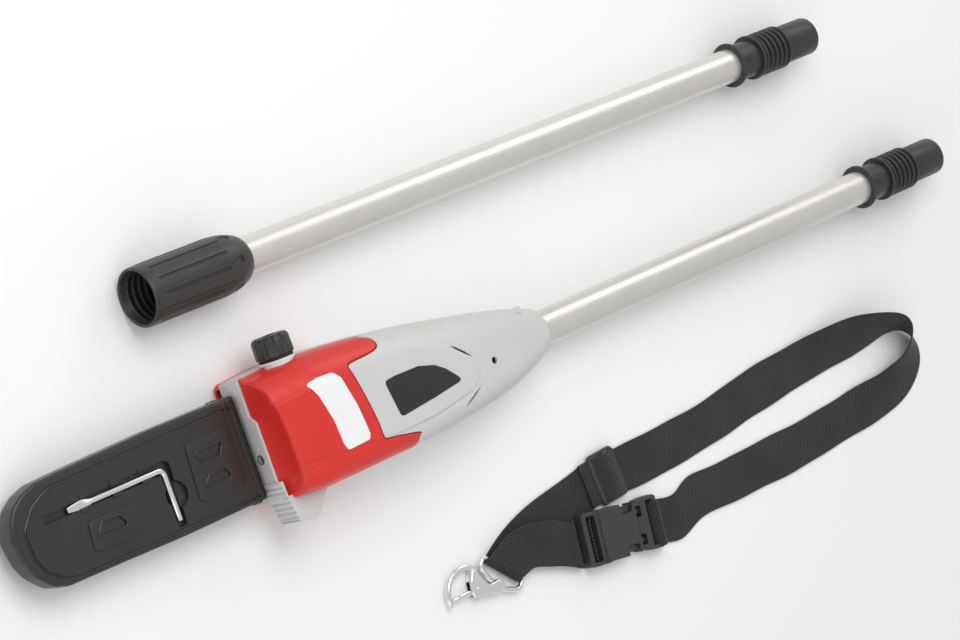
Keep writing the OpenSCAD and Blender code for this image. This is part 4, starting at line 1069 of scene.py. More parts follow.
def build_collar():
    """Collar nut: long grip grooves, lens-shaped notches where it tapers, and thread ridges inside."""
    a, b, c = low("collar_nut"), high("collar_nut"), middle("collar_nut")
    length, r = b[0] - a[0], (b[2] - a[2]) / 2
    xs = np.concatenate([[0.0, 0.35, 1.0, 2.0], np.linspace(4, length - 30, 40),
                         np.linspace(length - 29, length, 50)])
    taper = smooth_run(xs, [0, 0.35, 1.0, 2.0, 12, length - 30, length - 18, length - 8, length - 2.5,
                            length],
                       [r - 1.3, r - 0.7, r - 0.45, r - 0.3, r, r, r - 0.8, r - 3.2, r - 5.6, r - 7.6])
    outer = list(zip(xs, taper))
    bore = 21.2
    inner = [(length, 16.0), (length - 5.6, 16.0), (length - 5.6, 18.2), (length - 14, 18.2),
             (length - 14, bore)]
    ridge = []
    for x in (26, 20, 14, 8):
        ridge += [(x + 1.6, bore), (x + 0.7, bore - 0.8), (x, bore - 1.05), (x - 0.7, bore - 0.8),
                  (x - 1.6, bore)]
    inner += ridge + [(1.2, bore), (0.4, bore + 0.5)]
    grooves = 12

    def grip(x, radius, turn):
        outside = radius > bore + 1.4
        outside &= (x < length - 1)
        beat = np.abs((turn * grooves / (2 * math.pi) + 0.25) % 1 - 0.5) * 2 * math.pi * r / grooves
        straight = (1 - step_up(beat, 0.55, 1.35)) * step_up(x, 9,
                                                             10.5) * (1 - step_up(x, length - 27,
                                                                     length - 25.5))
        beat = np.abs((turn * (grooves / 2) / (2 * math.pi)) % 1 - 0.5) * 2 * math.pi * r / (grooves / 2)
        half = 3.4 * np.sin(math.pi * np.clip((x - (length - 25)) / 21, 0, 1)) ** 0.8
        lens = (1 - step_up(beat, np.maximum(half - 0.8, 0), np.maximum(half, 0.01))) * (half > 0.05)
        return radius - np.where(outside, 1.25 * straight + 1.3 * lens, 0)

    obj = lathe("collar_nut_grip", outer + inner, (a[0], c[1], c[2]), "collar_plastic", "collar_plastic",
                432, grip, 42)
    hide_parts("collar_nut")
    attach(obj, "collar_nut")


# ---------- scabbard and tool ----------

# Offsets from the scabbard's tip and from its middle line
SCABBARD_EDGE = [(0.6, 7), (3.2, 18.4), (10.6, 30), (22, 37.2), (34.6, 41.4), (56, 42.3), (145, 44),
                 (232, 43.4), (232, -40.6), (144, -41), (90, -39.8), (34.4, -39), (22, -35), (9.6, -23),
                 (3.6, -11)]
SCABBARD_LINE = [(12.6, 10), (26, 25.7), (43, 33.8), (70, 34.6), (178, 35.5), (224, 35.8), (224, -36.6),
                 (143, -35.6), (44.8, -35.6), (32, -32.2), (19, -22.4), (13.9, -10.4)]


def loop_points(points, radii, count):
    """A rounded closed outline as evenly spaced points."""
    line = np.array(rounded(points, radii, 10))
    line = np.concatenate([line, line[:1]])
    along = np.concatenate([[0], np.cumsum(np.linalg.norm(np.diff(line, axis=0), axis=1))])
    at = np.linspace(0, along[-1], count, endpoint=False)
    return np.stack([np.interp(at, along, line[:, k]) for k in (0, 1)], -1)


def drawn_in(line, inset):
    """A closed outline moved inwards."""
    d = np.roll(line, -1, 0) - np.roll(line, 1, 0)
    normal = np.stack([-d[:, 1], d[:, 0]], -1) / np.linalg.norm(d, axis=1, keepdims=True)
    x, y = line[:, 0], line[:, 1]
    area = np.sum(x * np.roll(y, -1) - np.roll(x, -1) * y)
    return line + normal * inset * (1 if area > 0 else -1)


def stacked(name, line, rings, finish, slot, angle=35):
    """A solid from an outline's rings given as (inset, height)."""
    verts = [(x, y, z) for inset, z in rings for x, y in drawn_in(line, inset)]
    n, m = len(rings), len(line)
    faces = grid_faces(n, m, loop=True) + [tuple(range(m)), tuple(range((n - 1) * m, n * m))]
    return make(name, verts, faces, finish, slot, angle)


def build_scabbard():
    tip, mouth = low("scabbard")[0], high("scabbard")[0]
    mid = (low("scabbard")[1] + high("scabbard")[1]) / 2
    top, base = high("combi_tool")[2] - 1.5, low("scabbard")[2]

    def at(points):
        return [(tip + x, mid + y) for x, y in points]

    edge = at(SCABBARD_EDGE)
    edge[7], edge[8] = (mouth, edge[7][1]), (mouth, edge[8][1])
    radii = [14, 20, 22, 18, 16, 60, 400, 0.5, 0.5, 400, 400, 18, 16, 20, 16]
    line = loop_points(edge, radii, 420)
    quarter = np.linspace(0, math.pi / 2, 8)
    foot = [(7 * (1 - math.sin(a)), base + 9 * (1 - math.cos(a))) for a in quarter]
    brow = [(2.4 * (1 - math.cos(a)), top - 2.4 + 2.4 * math.sin(a)) for a in quarter]
    rings = foot + brow
    body = stacked("body", line, rings, "dark_plastic", "dark_plastic", 32)
    groove = loop_points(at(SCABBARD_LINE), [12, 14, 16, 20, 300, 3, 3, 300, 12, 12, 14, 14], 260)
    path = [(x, y, top + 0.1) for x, y in groove]
    cut(body, swept("cutter", path, 1.25, "dark_plastic", "dark_plastic", 8, True), angle=32)
    hollow = drawn_in(line, 3.0)
    hollow = [(x + (8 if x > mouth - 10 else 0), y) for x, y in hollow]
    cut(body, cutter(hollow, base + 2.5, top - 6.6), angle=32)
    near = [(mouth - 46, mid - 38), (mouth + 6, mid - 38), (mouth + 6, mid + 40.4), (mouth - 46, mid + 40.4)]
    cut(body, cutter(near, base + 5, top - 2.5), angle=32)
    bend_x, bar_y = high("combi_tool")[0] - 2.5, high("combi_tool")[1] - 2.5
    foot_y = low("combi_tool")[1]
    well = rounded([(tip + 31.6, bar_y - 2.9), (bend_x - 3.4, bar_y - 3.6), (bend_x - 3.6, foot_y - 5),
                    (bend_x + 4.8, foot_y - 5), (bend_x + 7.4, bar_y + 4), (bend_x + 2, bar_y + 6.2),
                    (tip + 31.6, bar_y + 3.6)], [1.5, 1, 3, 3, 6, 3, 2])
    thumb = [(bend_x + 4.6 + 10.4 * math.cos(t), bar_y - 21.6 + 10.6 * math.sin(t))
             for t in np.linspace(0, 2 * math.pi, 40, endpoint=False)]
    floor = top - 3.9
    cut(body, cutter(well, floor, top + 4),
        cutter(thumb, floor + 0.8, top + 4), angle=32)
    parts = [body]
    for x, y in ((72, bar_y + 6.4), (101.4, bar_y + 6), (129, bar_y + 6.8), (70, bar_y - 4.4),
                 (101, bar_y - 3.2),
                 (129, bar_y - 3.4)):
        clip = rounded([(tip + x - 5, y - 1.9), (tip + x + 5, y - 1.9), (tip + x + 5, y + 1.9),
                        (tip + x - 5, y + 1.9)], 0.8)
        parts.append(prism("clip", clip, top - 1, top + 0.9, "dark_plastic", "dark_plastic", "z", 0.5, 2))
    panel = rounded(at([(66.8, -0.9), (109.5, -0.9), (113.6, -3.3), (109.8, -24.1), (105, -26.7),
                        (67.1, -24.3),
                        (64.6, -21.9)]), [5, 3, 3, 3, 4, 4, 3])
    plate = rounded(at([(170.9, 23.6), (209.6, 22.8), (214.7, 21.8), (214.2, -21.8), (209, -24.5),
                        (172.3, -23.2),
                        (168.1, -20.2)]), [6, 3, 3, 4, 4, 4, 4])
    dents = [[(78.1, -5), (94.6, -5.9), (99.7, -14.4), (71.5, -14.2)],
             [(176.8, 14), (203.9, 14.3), (198.5, 6.4), (181.4, 5.7)],
             [(176.1, -12.6), (183.8, -5.6), (198.7, -5.7), (203.2, -12.6)]]
    for outline, inner in ((panel, dents[:1]), (plate, dents[1:])):
        raised = prism("panel", outline, top - 0.5, top + 1.1, "dark_plastic", "dark_plastic", "z", 0.7, 3)
        for dent in inner:
            shape = rounded(at(dent), 1.4)
            cut(raised, cutter(shape, top + 0.02, top + 3))
            rim = loop_points(at(dent), 1.8, 60)
            parts.append(swept("rim", [(x, y, top + 1.1) for x, y in drawn_in(rim, -0.7)], 0.75,
                               "dark_plastic",
                               "dark_plastic", 8, True))
        parts.append(raised)
    for back in (6.5, 11.5):
        hoop = loop_points([(mid - 41.2, base + 0.2), (mid + 43.2, base + 0.2), (mid + 43.2, top - 0.2),
                            (mid - 41.2, top - 0.2)], 2.8, 120)
        parts.append(swept("band", [(mouth - back, y, z) for y, z in hoop], 0.65, "dark_plastic",
                           "dark_plastic", 8, True))
    obj = joined("scabbard_shell", parts, "dark_plastic", "dark_plastic", 32)
    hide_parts("scabbard")
    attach(obj, "scabbard")


def build_tool():
    """Angled tool with a flat driver tip at one end."""
    a, b = low("combi_tool"), high("combi_tool")
    x, y, z, r = b[0] - 2.5, b[1] - 2.5, (a[2] + b[2]) / 2, 2.45
    path, size = [], []
    for px, w, h in ((0, 1.9, 0.35), (2, 2.3, 0.45), (8, 3.4, 0.7), (13, 4.1, 0.95), (15.5, 4.2, 1.1),
                     (18, 3.4, 1.7),
                     (20.5, 2.6, 2.3), (22, r, r), (60, r, r)):
        path.append((a[0] + px, y, z))
        size.append((w, h))
    for t in np.linspace(0, math.pi / 2, 12):
        path.append((x - 5 + 5 * math.sin(t), y - 5 + 5 * math.cos(t), z))
        size.append((r, r))
    for end, s in ((y - 20, 1.0), (a[1] + 0.5, 1.0), (a[1], 0.8)):
        path.append((x, end, z))
        size.append((r * s, r * s))
    obj = swept("angled_driver", path, 1.0, "zinc_plate", "zinc_plate", 28, flat=np.array(size))
    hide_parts("combi_tool")
    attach(obj, "combi_tool")


# ---------- bar and chain ----------

def chain_line(offset):
    """Points round the chain's run, evenly spaced, and its whole length."""
    nose, drive = middle("nose_sprocket"), middle("drive_sprocket")
    big = (high("guide_bar")[1] - low("guide_bar")[1]) / 2 + offset
    small = big - 5.6
    reach = drive[0] - nose[0]
    lean = math.asin((big - small) / reach)
    pts = [(nose[0] + big * math.cos(t), nose[1] + big * math.sin(t))
           for t in np.linspace(math.pi / 2 - lean, 3 * math.pi / 2 + lean, 60)]
    pts += [(drive[0] + small * math.cos(t), drive[1] + small * math.sin(t))
            for t in np.linspace(-math.pi / 2 + lean, math.pi / 2 - lean, 50)]
    pts = np.array(pts + pts[:1])
    along = np.concatenate([[0], np.cumsum(np.linalg.norm(np.diff(pts, axis=0), axis=1))])
    return pts, along


def build_chain():
    """Drive links, side straps, rivets and cutters, each its own small plate."""
    pts, along = chain_line(2.3)
    pairs = 33
    step = along[-1] / (2 * pairs)
    z = middle("guide_bar")[2]
    verts, faces = [], []

    def plate(centre, ahead, outline, z0, z1):
        out = np.array([ahead[1], -ahead[0]])
        ring = [centre + ahead * u + out * v for u, v in outline]
        first, n = len(verts), len(ring)
        for h in (z0, z1):
            verts.extend((q[0], q[1], h) for q in ring)
        faces.append(tuple(first + i for i in range(n))[::-1])
        faces.append(tuple(first + n + i for i in range(n)))
        faces.extend((first + i, first + (i + 1) % n, first + n + (i + 1) % n,
                      first + n + i) for i in range(n))

    def spot(s):
        s = s % along[-1]
        return np.array([np.interp(s, along, pts[:, 0]), np.interp(s, along, pts[:, 1])])

    h = step / 2
    strap = rounded([(-h - 2.4, -2.2), (h + 2.4, -2.2), (h + 2.4, 2.4), (-h - 2.4, 2.4)], 2.2, 4)
    driver = rounded([(-h - 2.2, -1.6), (-2.2, -2.2), (0.6, -5.6), (2.4, -2.2), (h + 2.2, -1.6),
                      (h + 2.4, 1.8),
                      (0, 2.3), (-h - 2.4, 1.8)], [1.5, 1, 0.8, 1, 1.5, 1.5, 2, 1.5], 4)
    cutter = rounded([(-h - 2.4, -2.2), (h + 2.4, -2.2), (h + 2.4, 3.9), (h + 0.6, 4.2), (h - 0.8, 2.0),
                      (-0.4, 1.7),
                      (-0.8, 4.6), (-h - 2.2, 4.0)], [2, 2, 0.6, 0.6, 1, 1, 0.3, 0.6], 3)
    pin = [(1.35 * math.cos(t), 1.35 * math.sin(t)) for t in np.linspace(0, 2 * math.pi, 14, endpoint=False)]
    for k in range(2 * pairs):
        a, b = spot(k * step), spot((k + 1) * step)
        ahead = (b - a) / np.linalg.norm(b - a)
        mid = (a + b) / 2
        if k % 2 == 0:
            plate(mid, ahead, driver, z - 0.55, z + 0.55)
        else:
            toothed = (k // 2) % 2
            left = (k // 4) % 2
            plate(mid, ahead, cutter if toothed and left else strap, z + 0.7, z + 1.75)
            plate(mid, ahead, cutter if toothed and not left else strap, z - 1.75, z - 0.7)
        plate(a, ahead, pin, z - 2.15, z + 2.15)
    obj = make("saw_chain_links", verts, faces, "chain_steel", "chain_steel", 30)
    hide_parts("saw_chain")
    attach(obj, "bar")
    repaint("bar_steel", "guide_bar")
    repaint("machined_steel", "nose_sprocket")


# ---------- strap ----------

# The webbing's low and high edges, as offsets from the strap's low corner and the floor
SHORT_LOW = [(27, 27, 7.4), (43, 29, 7), (64, 23, 7), (82, 16, 6.5), (91, 11, 6)]
SHORT_HIGH = [(0, 54, 7.4), (33, 66, 7), (70, 61, 7), (87, 53, 6.5), (96, 48, 6)]
LONG_LOW = [(27, 27, 0), (50, 36, 0), (84, 43, 0), (120, 48, 0), (142, 51, 0), (202, 51, 0), (242, 52, 0),
            (292, 55, 0), (342, 61, 0), (392, 65, 0), (437, 68, 0), (472, 70, 0), (504, 72, 0),
            (534, 75, 0), (556, 70, 0), (568, 55, 0), (566, 38, 0), (550, 23, 0), (524, 12, 0),
            (492, 7, 0), (442, 3, 0), (382, 0, 0), (322, 0, 0), (282, 0, 0), (244, 1, 0)]
LONG_HIGH = [(0, 54, 0), (34, 70, 0), (79, 80, 0), (116, 86, 0), (139, 89, 0), (202, 89, 0), (242, 90, 0),
             (292, 93, 0), (342, 99, 0), (392, 103, 1), (437, 105.5, 5), (472, 105, 13), (500, 101, 24),
             (526, 91, 33), (537, 78, 32), (538, 63, 23), (532, 53, 14), (522, 48, 8), (506, 44, 4),
             (482, 43, 2), (439, 41, 0), (381, 38, 0), (322, 38, 0), (283, 38, 0), (245, 39, 0)]
WEB = 38.0
# How far the buckle and the slider lie turned, in degrees
BUCKLE_TURN = -8
GLIDE_TURN = 3


def web_run(lows, highs):
    """Evenly spaced edge pairs through the webbing's low and high edge points."""
    return curve_through(np.concatenate([np.array(lows, float), np.array(highs, float)], 1), 4.2)


def ribbon(name, run, thick, wave=0.0, first=0, last=None):
    """A stretch of woven webbing, closed, with wavy edges. Returns it and its length in millimetres."""
    lo, hi = run[:, :3], run[:, 3:]
    mid = (lo + hi) / 2
    along = np.concatenate([[0], np.cumsum(np.linalg.norm(np.diff(mid, axis=0), axis=1))])
    across = hi - lo
    across *= (WEB / np.linalg.norm(across, axis=1))[:, None]
    ahead = np.gradient(mid, axis=0)
    ahead /= np.linalg.norm(ahead, axis=1, keepdims=True)
    up = np.cross(ahead, across)
    up /= np.linalg.norm(up, axis=1, keepdims=True)
    share = np.concatenate([[0, 0.012, 0.035], np.linspace(0.08, 0.92, 11), [0.965, 0.988, 1]])
    grid = np.zeros((2, len(mid), len(share), 3))
    for k, s in enumerate(share):
        edge = abs(2 * s - 1)
        sway = wave * (np.sin(along / 23.0) + 0.6 * np.sin(along / 9.5 + 1.3)) * (2 * s - 1)
        ripple = wave * 0.5 * edge ** 4 * (np.sin(along / 15.0 + 2 * s) + 1.0)
        thin = thick / 2 * (1 - 0.45 * edge ** 16)
        line = mid + across * ((s - 0.5) + sway / WEB)[:, None]
        line = line + np.array([0, 0, 1.0]) * ripple[:, None]
        grid[0, :, k] = line + up * thin
        grid[1, :, k] = line - up * thin
    stretch = slice(first, last)
    verts, faces = thick_grid(grid[0][stretch], grid[1][stretch])
    uv = [(float(s) * WEB * MM, float(d) * MM) for d in along[stretch] for s in share]
    obj = make(name, verts, faces, "webbing", "webbing", 50, uv + uv)
    return obj, float(along[stretch][-1] - along[stretch][0])


def placed(points, corner, floor):
    return [(corner[0] + x, corner[1] + y, floor + z) for x, y, z in points]


def lying(node, turn):
    """Maps plan offsets from a turned piece's middle, and heights above the floor, to points."""
    c = middle(node)
    s, k = math.sin(math.radians(turn)), math.cos(math.radians(turn))
    return lambda x, y, z: (c[0] + x * k - y * s, c[1] + x * s + y * k, FLOOR_Z + z)


def build_strap():
    corner = (low("strap_leg_long")[0], low("strap_lower")[1])
    base = FLOOR_Z + 1.0
    ring_low, ring_high = placed([SHORT_LOW[0]], corner, base)[0], placed([SHORT_HIGH[0]], corner, base)[0]
    round_r = SHORT_LOW[0][2] / 2
    out = -math.sqrt(0.5)
    fold_low, fold_high = [], []
    for a in (150, 110, 70, 30):
        reach, rise = round_r * math.sin(math.radians(a)), round_r * (1 - math.cos(math.radians(a)))
        for line, p in ((fold_low, ring_low), (fold_high, ring_high)):
            line.append((p[0] + out * reach, p[1] + out * reach, base + rise))
    female = lying("buckle_female", BUCKLE_TURN)
    left = -(high("buckle_female")[0] - low("buckle_female")[0]) / 2 + 2.2
    tuck = [(left - 3, 4.6), (left + 2, 1.3), (left + 8, 1.3), (left + 12.5, 4.5), (left + 11.5, 9.5)]
    lows = [female(x, -WEB / 2, z) for x, z in tuck[::-1]] + placed(SHORT_LOW[::-1], corner, base)
    highs = [female(x, WEB / 2, z) for x, z in tuck[::-1]] + placed(SHORT_HIGH[::-1], corner, base)
    lows += fold_low + placed(LONG_LOW, corner, base)
    highs += fold_high + placed(LONG_HIGH, corner, base)
    male = lying("buckle_male", BUCKLE_TURN)
    half = (high("buckle_male")[0] - low("buckle_male")[0]) / 2 - 2.8
    end = [(half + 30, 1.0), (half + 10, 1.0), (half + 3.5, 3.2), (half + 1.8, 8), (half - 1.2, 13.4),
           (half - 5.5, 12.6),
           (half - 8.2, 8)]
    lows += [male(x, -WEB / 2, z) for x, z in end]
    highs += [male(x, WEB / 2, z) for x, z in end]
    run = web_run(lows, highs)
    split = np.array([corner[0] + LONG_LOW[20][0], corner[1] + LONG_LOW[20][1], base])
    parting = int(np.argmin(np.linalg.norm(run[:, :3] - split, axis=1)))
    upper, length = ribbon("strap_webbing", run, 1.9, 0.45, 0, parting + 1)
    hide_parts("strap_upper", "strap_turn", "strap_leg_long", "strap_leg_short", "strap_fold")
    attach(upper, "strap")
    lower, length = ribbon("strap_lower_webbing", run, 1.9, 0.45, parting)
    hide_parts("strap_lower")
    Vector(male(half + 10, 0, 3)) * MM
    Vector(male(half + 215, 0, 3)) * MM
    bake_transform(lower)
    g = lying("tri_glide", GLIDE_TURN)
    roll = [(-26, 3.4), (-14, 3.6), (-8, 5.2), (-2, 7.9), (4, 8.2), (9, 6.8), (13.5, 4.4), (17, 3.2)]
    run = web_run([g(x, -WEB / 2, z) for x, z in roll], [g(x, WEB / 2, z) for x, z in roll])
    wrap, length = ribbon("glide_webbing", run, 1.8)
    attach(wrap, "glide")
    stitch(g, -22.5, "glide")


def stitch(place, x, body):
    """A row of short stitches across the webbing."""
    parts = []
    for k in range(11):
        y = -15 + 3 * k
        path = [place(x - 0.2, y - 1, 4.5), place(x, y, 4.95), place(x + 0.2, y + 1, 4.5)]
        parts.append(swept("stitch", path, 0.32, "stitching", "webbing", 8))
    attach(joined("stitch_row_" + body, parts, "stitching", "webbing"), body)


def outline_box(a, b, r=2.0):
    return rounded([(a[0], a[1]), (b[0], a[1]), (b[0], b[1]), (a[0], b[1])], r)


def lay_down(obj, pos, turn):
    obj.data.transform(Matrix.Translation((pos[0] * MM, pos[1] * MM,
                                           FLOOR_Z * MM)) @ Matrix.Rotation(math.radians(turn), 4, "Z"))
    return obj


def build_buckle():
    f, turn = middle("buckle_female"), BUCKLE_TURN
    c, s = math.cos(math.radians(turn)), math.sin(math.radians(turn))
    zero = (f[0] + 13 * c, f[1] + 13 * s)
    top = high("buckle_female")[2] - low("buckle_female")[2]
    w = 23.0
    body = prism("body", rounded([(-44, -w + 1), (-40, -w), (-22, -w), (-19, -w + 0.8), (12, -w + 0.8),
                                  (18, -w + 2.4),
                                  (18, w - 2.4), (12, w - 0.8), (-19, w - 0.8), (-22, w), (-40, w),
                                  (-44, w - 1)],
                                 [2, 2, 1, 1, 4, 3, 3, 4, 1, 1, 2, 2]), 0.2, top - 0.2, "buckle_plastic",
                 "black_plastic",
                 "z", 2.4, 4)
    slot = cutter(outline_box((-39.6, -19.6), (-29.4, 19.6), 1.2), -3, top + 3)
    tunnel = cutter([(-19.5, 2.7), (19.5, 2.7), (19.5, top - 2.7), (-19.5, top - 2.7)], -24, 22, "x")
    cut(body, slot, tunnel)
    for side in (-1, 1):
        window = rounded([(0.5, side * 15), (3.5, side * 13.2), (14, side * 14), (15.5, side * 20),
                          (15, side * 30), (1, side * 30)],
                         [2, 2, 2, 2, 0, 0])
        window = window if side > 0 else window[::-1]
        cut(body, cutter(window, -3, top + 3))
    for x in (-26.2, -24.4):
        seam = outline_box((x - 0.3, -30), (x + 0.3, 30), 0)
        cut(body, cutter(seam, top - 0.9, top + 3))
    lay_down(body, zero, turn)
    body.name = "buckle_socket_half"
    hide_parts("buckle_female")
    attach(body, "strap")
    plate = prism("plate", rounded([(18.6, -w + 4), (22, -w + 1.2), (30, -w), (42, -w), (44.4, -w + 2),
                                    (44.4, w - 2), (42, w),
                                    (30, w), (22, w - 1.2), (18.6, w - 4)], [3, 3, 3, 3, 2, 2, 3, 3, 3, 3]),
                  0.9, top - 0.9,
                  "buckle_plastic", "black_plastic", "z", 2.0, 4)
    cut(plate, cutter(outline_box((30.6, -19.6), (39.2, 19.6), 1.2), -3, top + 3))
    guide = prism("guide", outline_box((-17.8, -3), (20, 3), 2), top / 2 - 2.9, top / 2 + 2.9,
                  "buckle_plastic",
                  "black_plastic", "z", 0.8, 2)
    for side in (-1, 1):
        notch = outline_box((16, side * 12 - 4.6), (24.2, side * 12 + 4.6), 1.2)
        cut(plate, cutter(notch, -3, top + 3))
    male = lay_down(joined("buckle_plug_half", [plate, guide], "buckle_plastic", "black_plastic"), zero, turn)
    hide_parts("buckle_male")
    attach(male, "buckle_male")
    for side, name, body_name in ((1, "buckle_prong_left", "prong_left"),
                                  (-1, "buckle_prong_right", "prong_right")):
        shape = rounded([(23.6, 9.6), (23.6, 14.4), (16, 15.6), (14, 19), (8, 19.8), (3, 18.8),
                         (-2.4, 16.4), (-8, 13.4),
                         (-8.4, 11), (4, 12.4), (14, 11.4)], [1, 1, 1.5, 2, 4, 2, 3, 1.2, 1.2, 4, 4])
        shape = [(x, y * side) for x, y in shape]
        shape = shape if side > 0 else shape[::-1]
        arm = prism(name + "_curved", shape, top / 2 - 3.1, top / 2 + 3.1, "buckle_plastic",
                    "black_plastic", "z", 0.9, 3)
        lay_down(arm, zero, turn)
        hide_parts(name)
        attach(arm, body_name)


def build_glide():
    c = middle("tri_glide")
    w = (high("tri_glide")[1] - low("tri_glide")[1]) / 2 - 0.6
    z0 = low("tri_glide")[2] - FLOOR_Z
    frame_bar = prism("slider_frame", outline_box((-15, -w), (15, w), 3.5), z0 + 0.1, z0 + 3.6,
                      "buckle_plastic",
                      "black_plastic", "z", 1.3, 4)
    for side in (-1, 1):
        cut(frame_bar, cutter(outline_box((side * 7.25 - 4.5, -19.5), (side * 7.25 + 4.5, 19.5), 1.2), -3,
                              20))
    lay_down(frame_bar, c, GLIDE_TURN)
    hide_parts("tri_glide")
    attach(frame_bar, "glide")


def build_hook():
    """Wire ring, and the snap hook with its gate."""
    a, b = low("hook_ring"), high("hook_ring")
    turn = math.radians(45)
    z = (a[2] + b[2]) / 2
    c, s = math.cos(turn), math.sin(turn)
    corner = (low("strap_leg_long")[0] + 12.5, low("strap_lower")[1] + 41)
    loop = rounded([(0, 22.4), (-9, 22.4), (-15, 9), (-15, -9), (-9, -22.4), (0, -22.4)],
                   [4, 7, 6, 6, 7, 4], 8)
    loop = loop_points(loop, 0, 130)
    wire = swept("wire_ring", [(corner[0] + x * c - y * s, corner[1] + x * s + y * c, z) for x, y in loop],
                 2.25,
                 "zinc_plate", "zinc_plate", 24, True)
    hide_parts("hook_ring")
    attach(wire, "ring")
    eye = np.array([corner[0] - 15 * c, corner[1] - 15 * s])
    pin = middle("gate_pin")
    hub = np.array([pin[0] - 9, pin[1]])
    plate = [eye + p for p in ((4.6, -4), (4.8, 1.8), (1.8, 4.8), (-10.5, 4))]
    plate += [hub + p for p in ((14.5, 11), (12.5, 17), (8, 16), (3, 8), (1.5, -1), (3, -5.5), (14, -7))]
    plate += [eye + (-2, -6)]
    body = prism("plate", rounded([tuple(q) for q in plate], [2, 2, 2, 6, 5, 3, 4, 8, 4, 3, 8, 3]), z - 4.2,
                 z + 4.2,
                 "zinc_plate", "zinc_plate", "z", 1.8, 4)
    slot = cutter(outline_box((hub[0] - 4, hub[1] - 12), (hub[0] + 13, hub[1] + 8.5), 1), z - 2.2, z + 2.2)
    cut(body, slot)
    arc = []
    for t in np.linspace(48, 192, 40):
        q = math.radians(t)
        arc.append((hub[0] + 21 * math.cos(q), hub[1] + 21 * math.sin(q), z))
    size = np.interp(np.linspace(0, 1, 40), [0, 0.15, 0.85, 0.97, 1], [3.2, 2.7, 2.5, 2.2, 1.2])
    spine = swept("spine", arc, size, "zinc_plate", "zinc_plate", 22)
    eye_bore = swept("cutter", [(eye[0] + s * 30, eye[1] - c * 30, z),
                                (eye[0] - s * 30, eye[1] + c * 30, z)], 2.9,
                     "zinc_plate", "zinc_plate", 24)
    cut(body, eye_bore)
    obj = joined("hook_spine_body", [body, spine], "zinc_plate", "zinc_plate", 40)
    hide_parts("hook_body")
    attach(obj, "hook")
    g = []
    for x, w, h in ((hub[0] - 17.2, 1.3, 1.0), (hub[0] - 16.6, 2.0, 1.7), (hub[0] - 8, 2.1, 1.8),
                    (hub[0] + 3, 2.4, 1.9),
                    (pin[0], 3.3, 1.9), (pin[0] + 3, 2.2, 1.8)):
        g.append((x, w, h))
    gate = swept("hook_gate_leaf", [(x, hub[1], z) for x, w, h in g], 1.0, "zinc_plate", "zinc_plate", 20,
                 flat=np.array([(w, h) for x, w, h in g]))
    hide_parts("hook_gate")
    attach(gate, "gate")
    head = lathe("gate_rivet", [(-4.7, 0.05), (-4.7, 1.2), (-4.3, 1.9), (-4.1, 1.2), (4.1, 1.2), (4.3, 1.9),
                                (4.7, 1.2), (4.7, 0.05)],
                 (0, 0, 0), "zinc_plate", "machined_steel", 32)
    head.data.transform(Matrix.Translation((pin[0] * MM, pin[1] * MM,
                                            z * MM)) @ Matrix.Rotation(math.radians(90), 4, "Y"))
    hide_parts("gate_pin")
    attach(head, "hook")


# ---------- operators ----------

# The camera's right, up and back directions, and where it stands in metres
VIEW_AXES = ((0.7028, -0.3285, 0.6310), (0.3056, 0.9404, 0.1491), (-0.6424, 0.0881, 0.7613))
VIEW_FROM = (-2.3664, 0.2717, 2.1156)

class SawColours(bpy.types.PropertyGroup):
    def tone(title, about, value):
        return bpy.props.FloatVectorProperty(name=title, description=about, default=value, size=3,
                                             min=0.0, max=1.0, subtype="COLOR")

    shell: tone("Shell", "Light grey housing shells", (0.6, 0.6, 0.585))
    shroud: tone("Shroud", "Red shroud and chain cover", (0.68, 0.026, 0.018))
    scabbard: tone("Scabbard", "Moulded bar scabbard", (0.02, 0.0175, 0.0165))
    black: tone("Black plastic", "Plugs and oil cap", (0.028, 0.027, 0.026))
    collar: tone("Collar", "Collar nut of the extension", (0.03, 0.0275, 0.025))
    buckle: tone("Buckle", "Buckle and slider", (0.04, 0.0365, 0.0365))
    tube: tone("Tube", "Satin aluminium tube", (0.74, 0.72, 0.685))
    webbing: tone("Webbing", "Strap webbing", (0.032, 0.03, 0.026))
    del tone


class StageSettings(bpy.types.PropertyGroup):
    """The camera and the lights."""

    lens: bpy.props.FloatProperty(name="Lens", description="Camera's focal length", default=127.5,
                                  min=20.0, unit="CAMERA")
    key: bpy.props.FloatProperty(name="Key light", description="Power of the large soft light",
                                 default=14.0, min=0.0, unit="POWER")
    sky: bpy.props.FloatProperty(name="Surround", description="Strength of the pale surround",
                                 default=0.62, min=0.0)


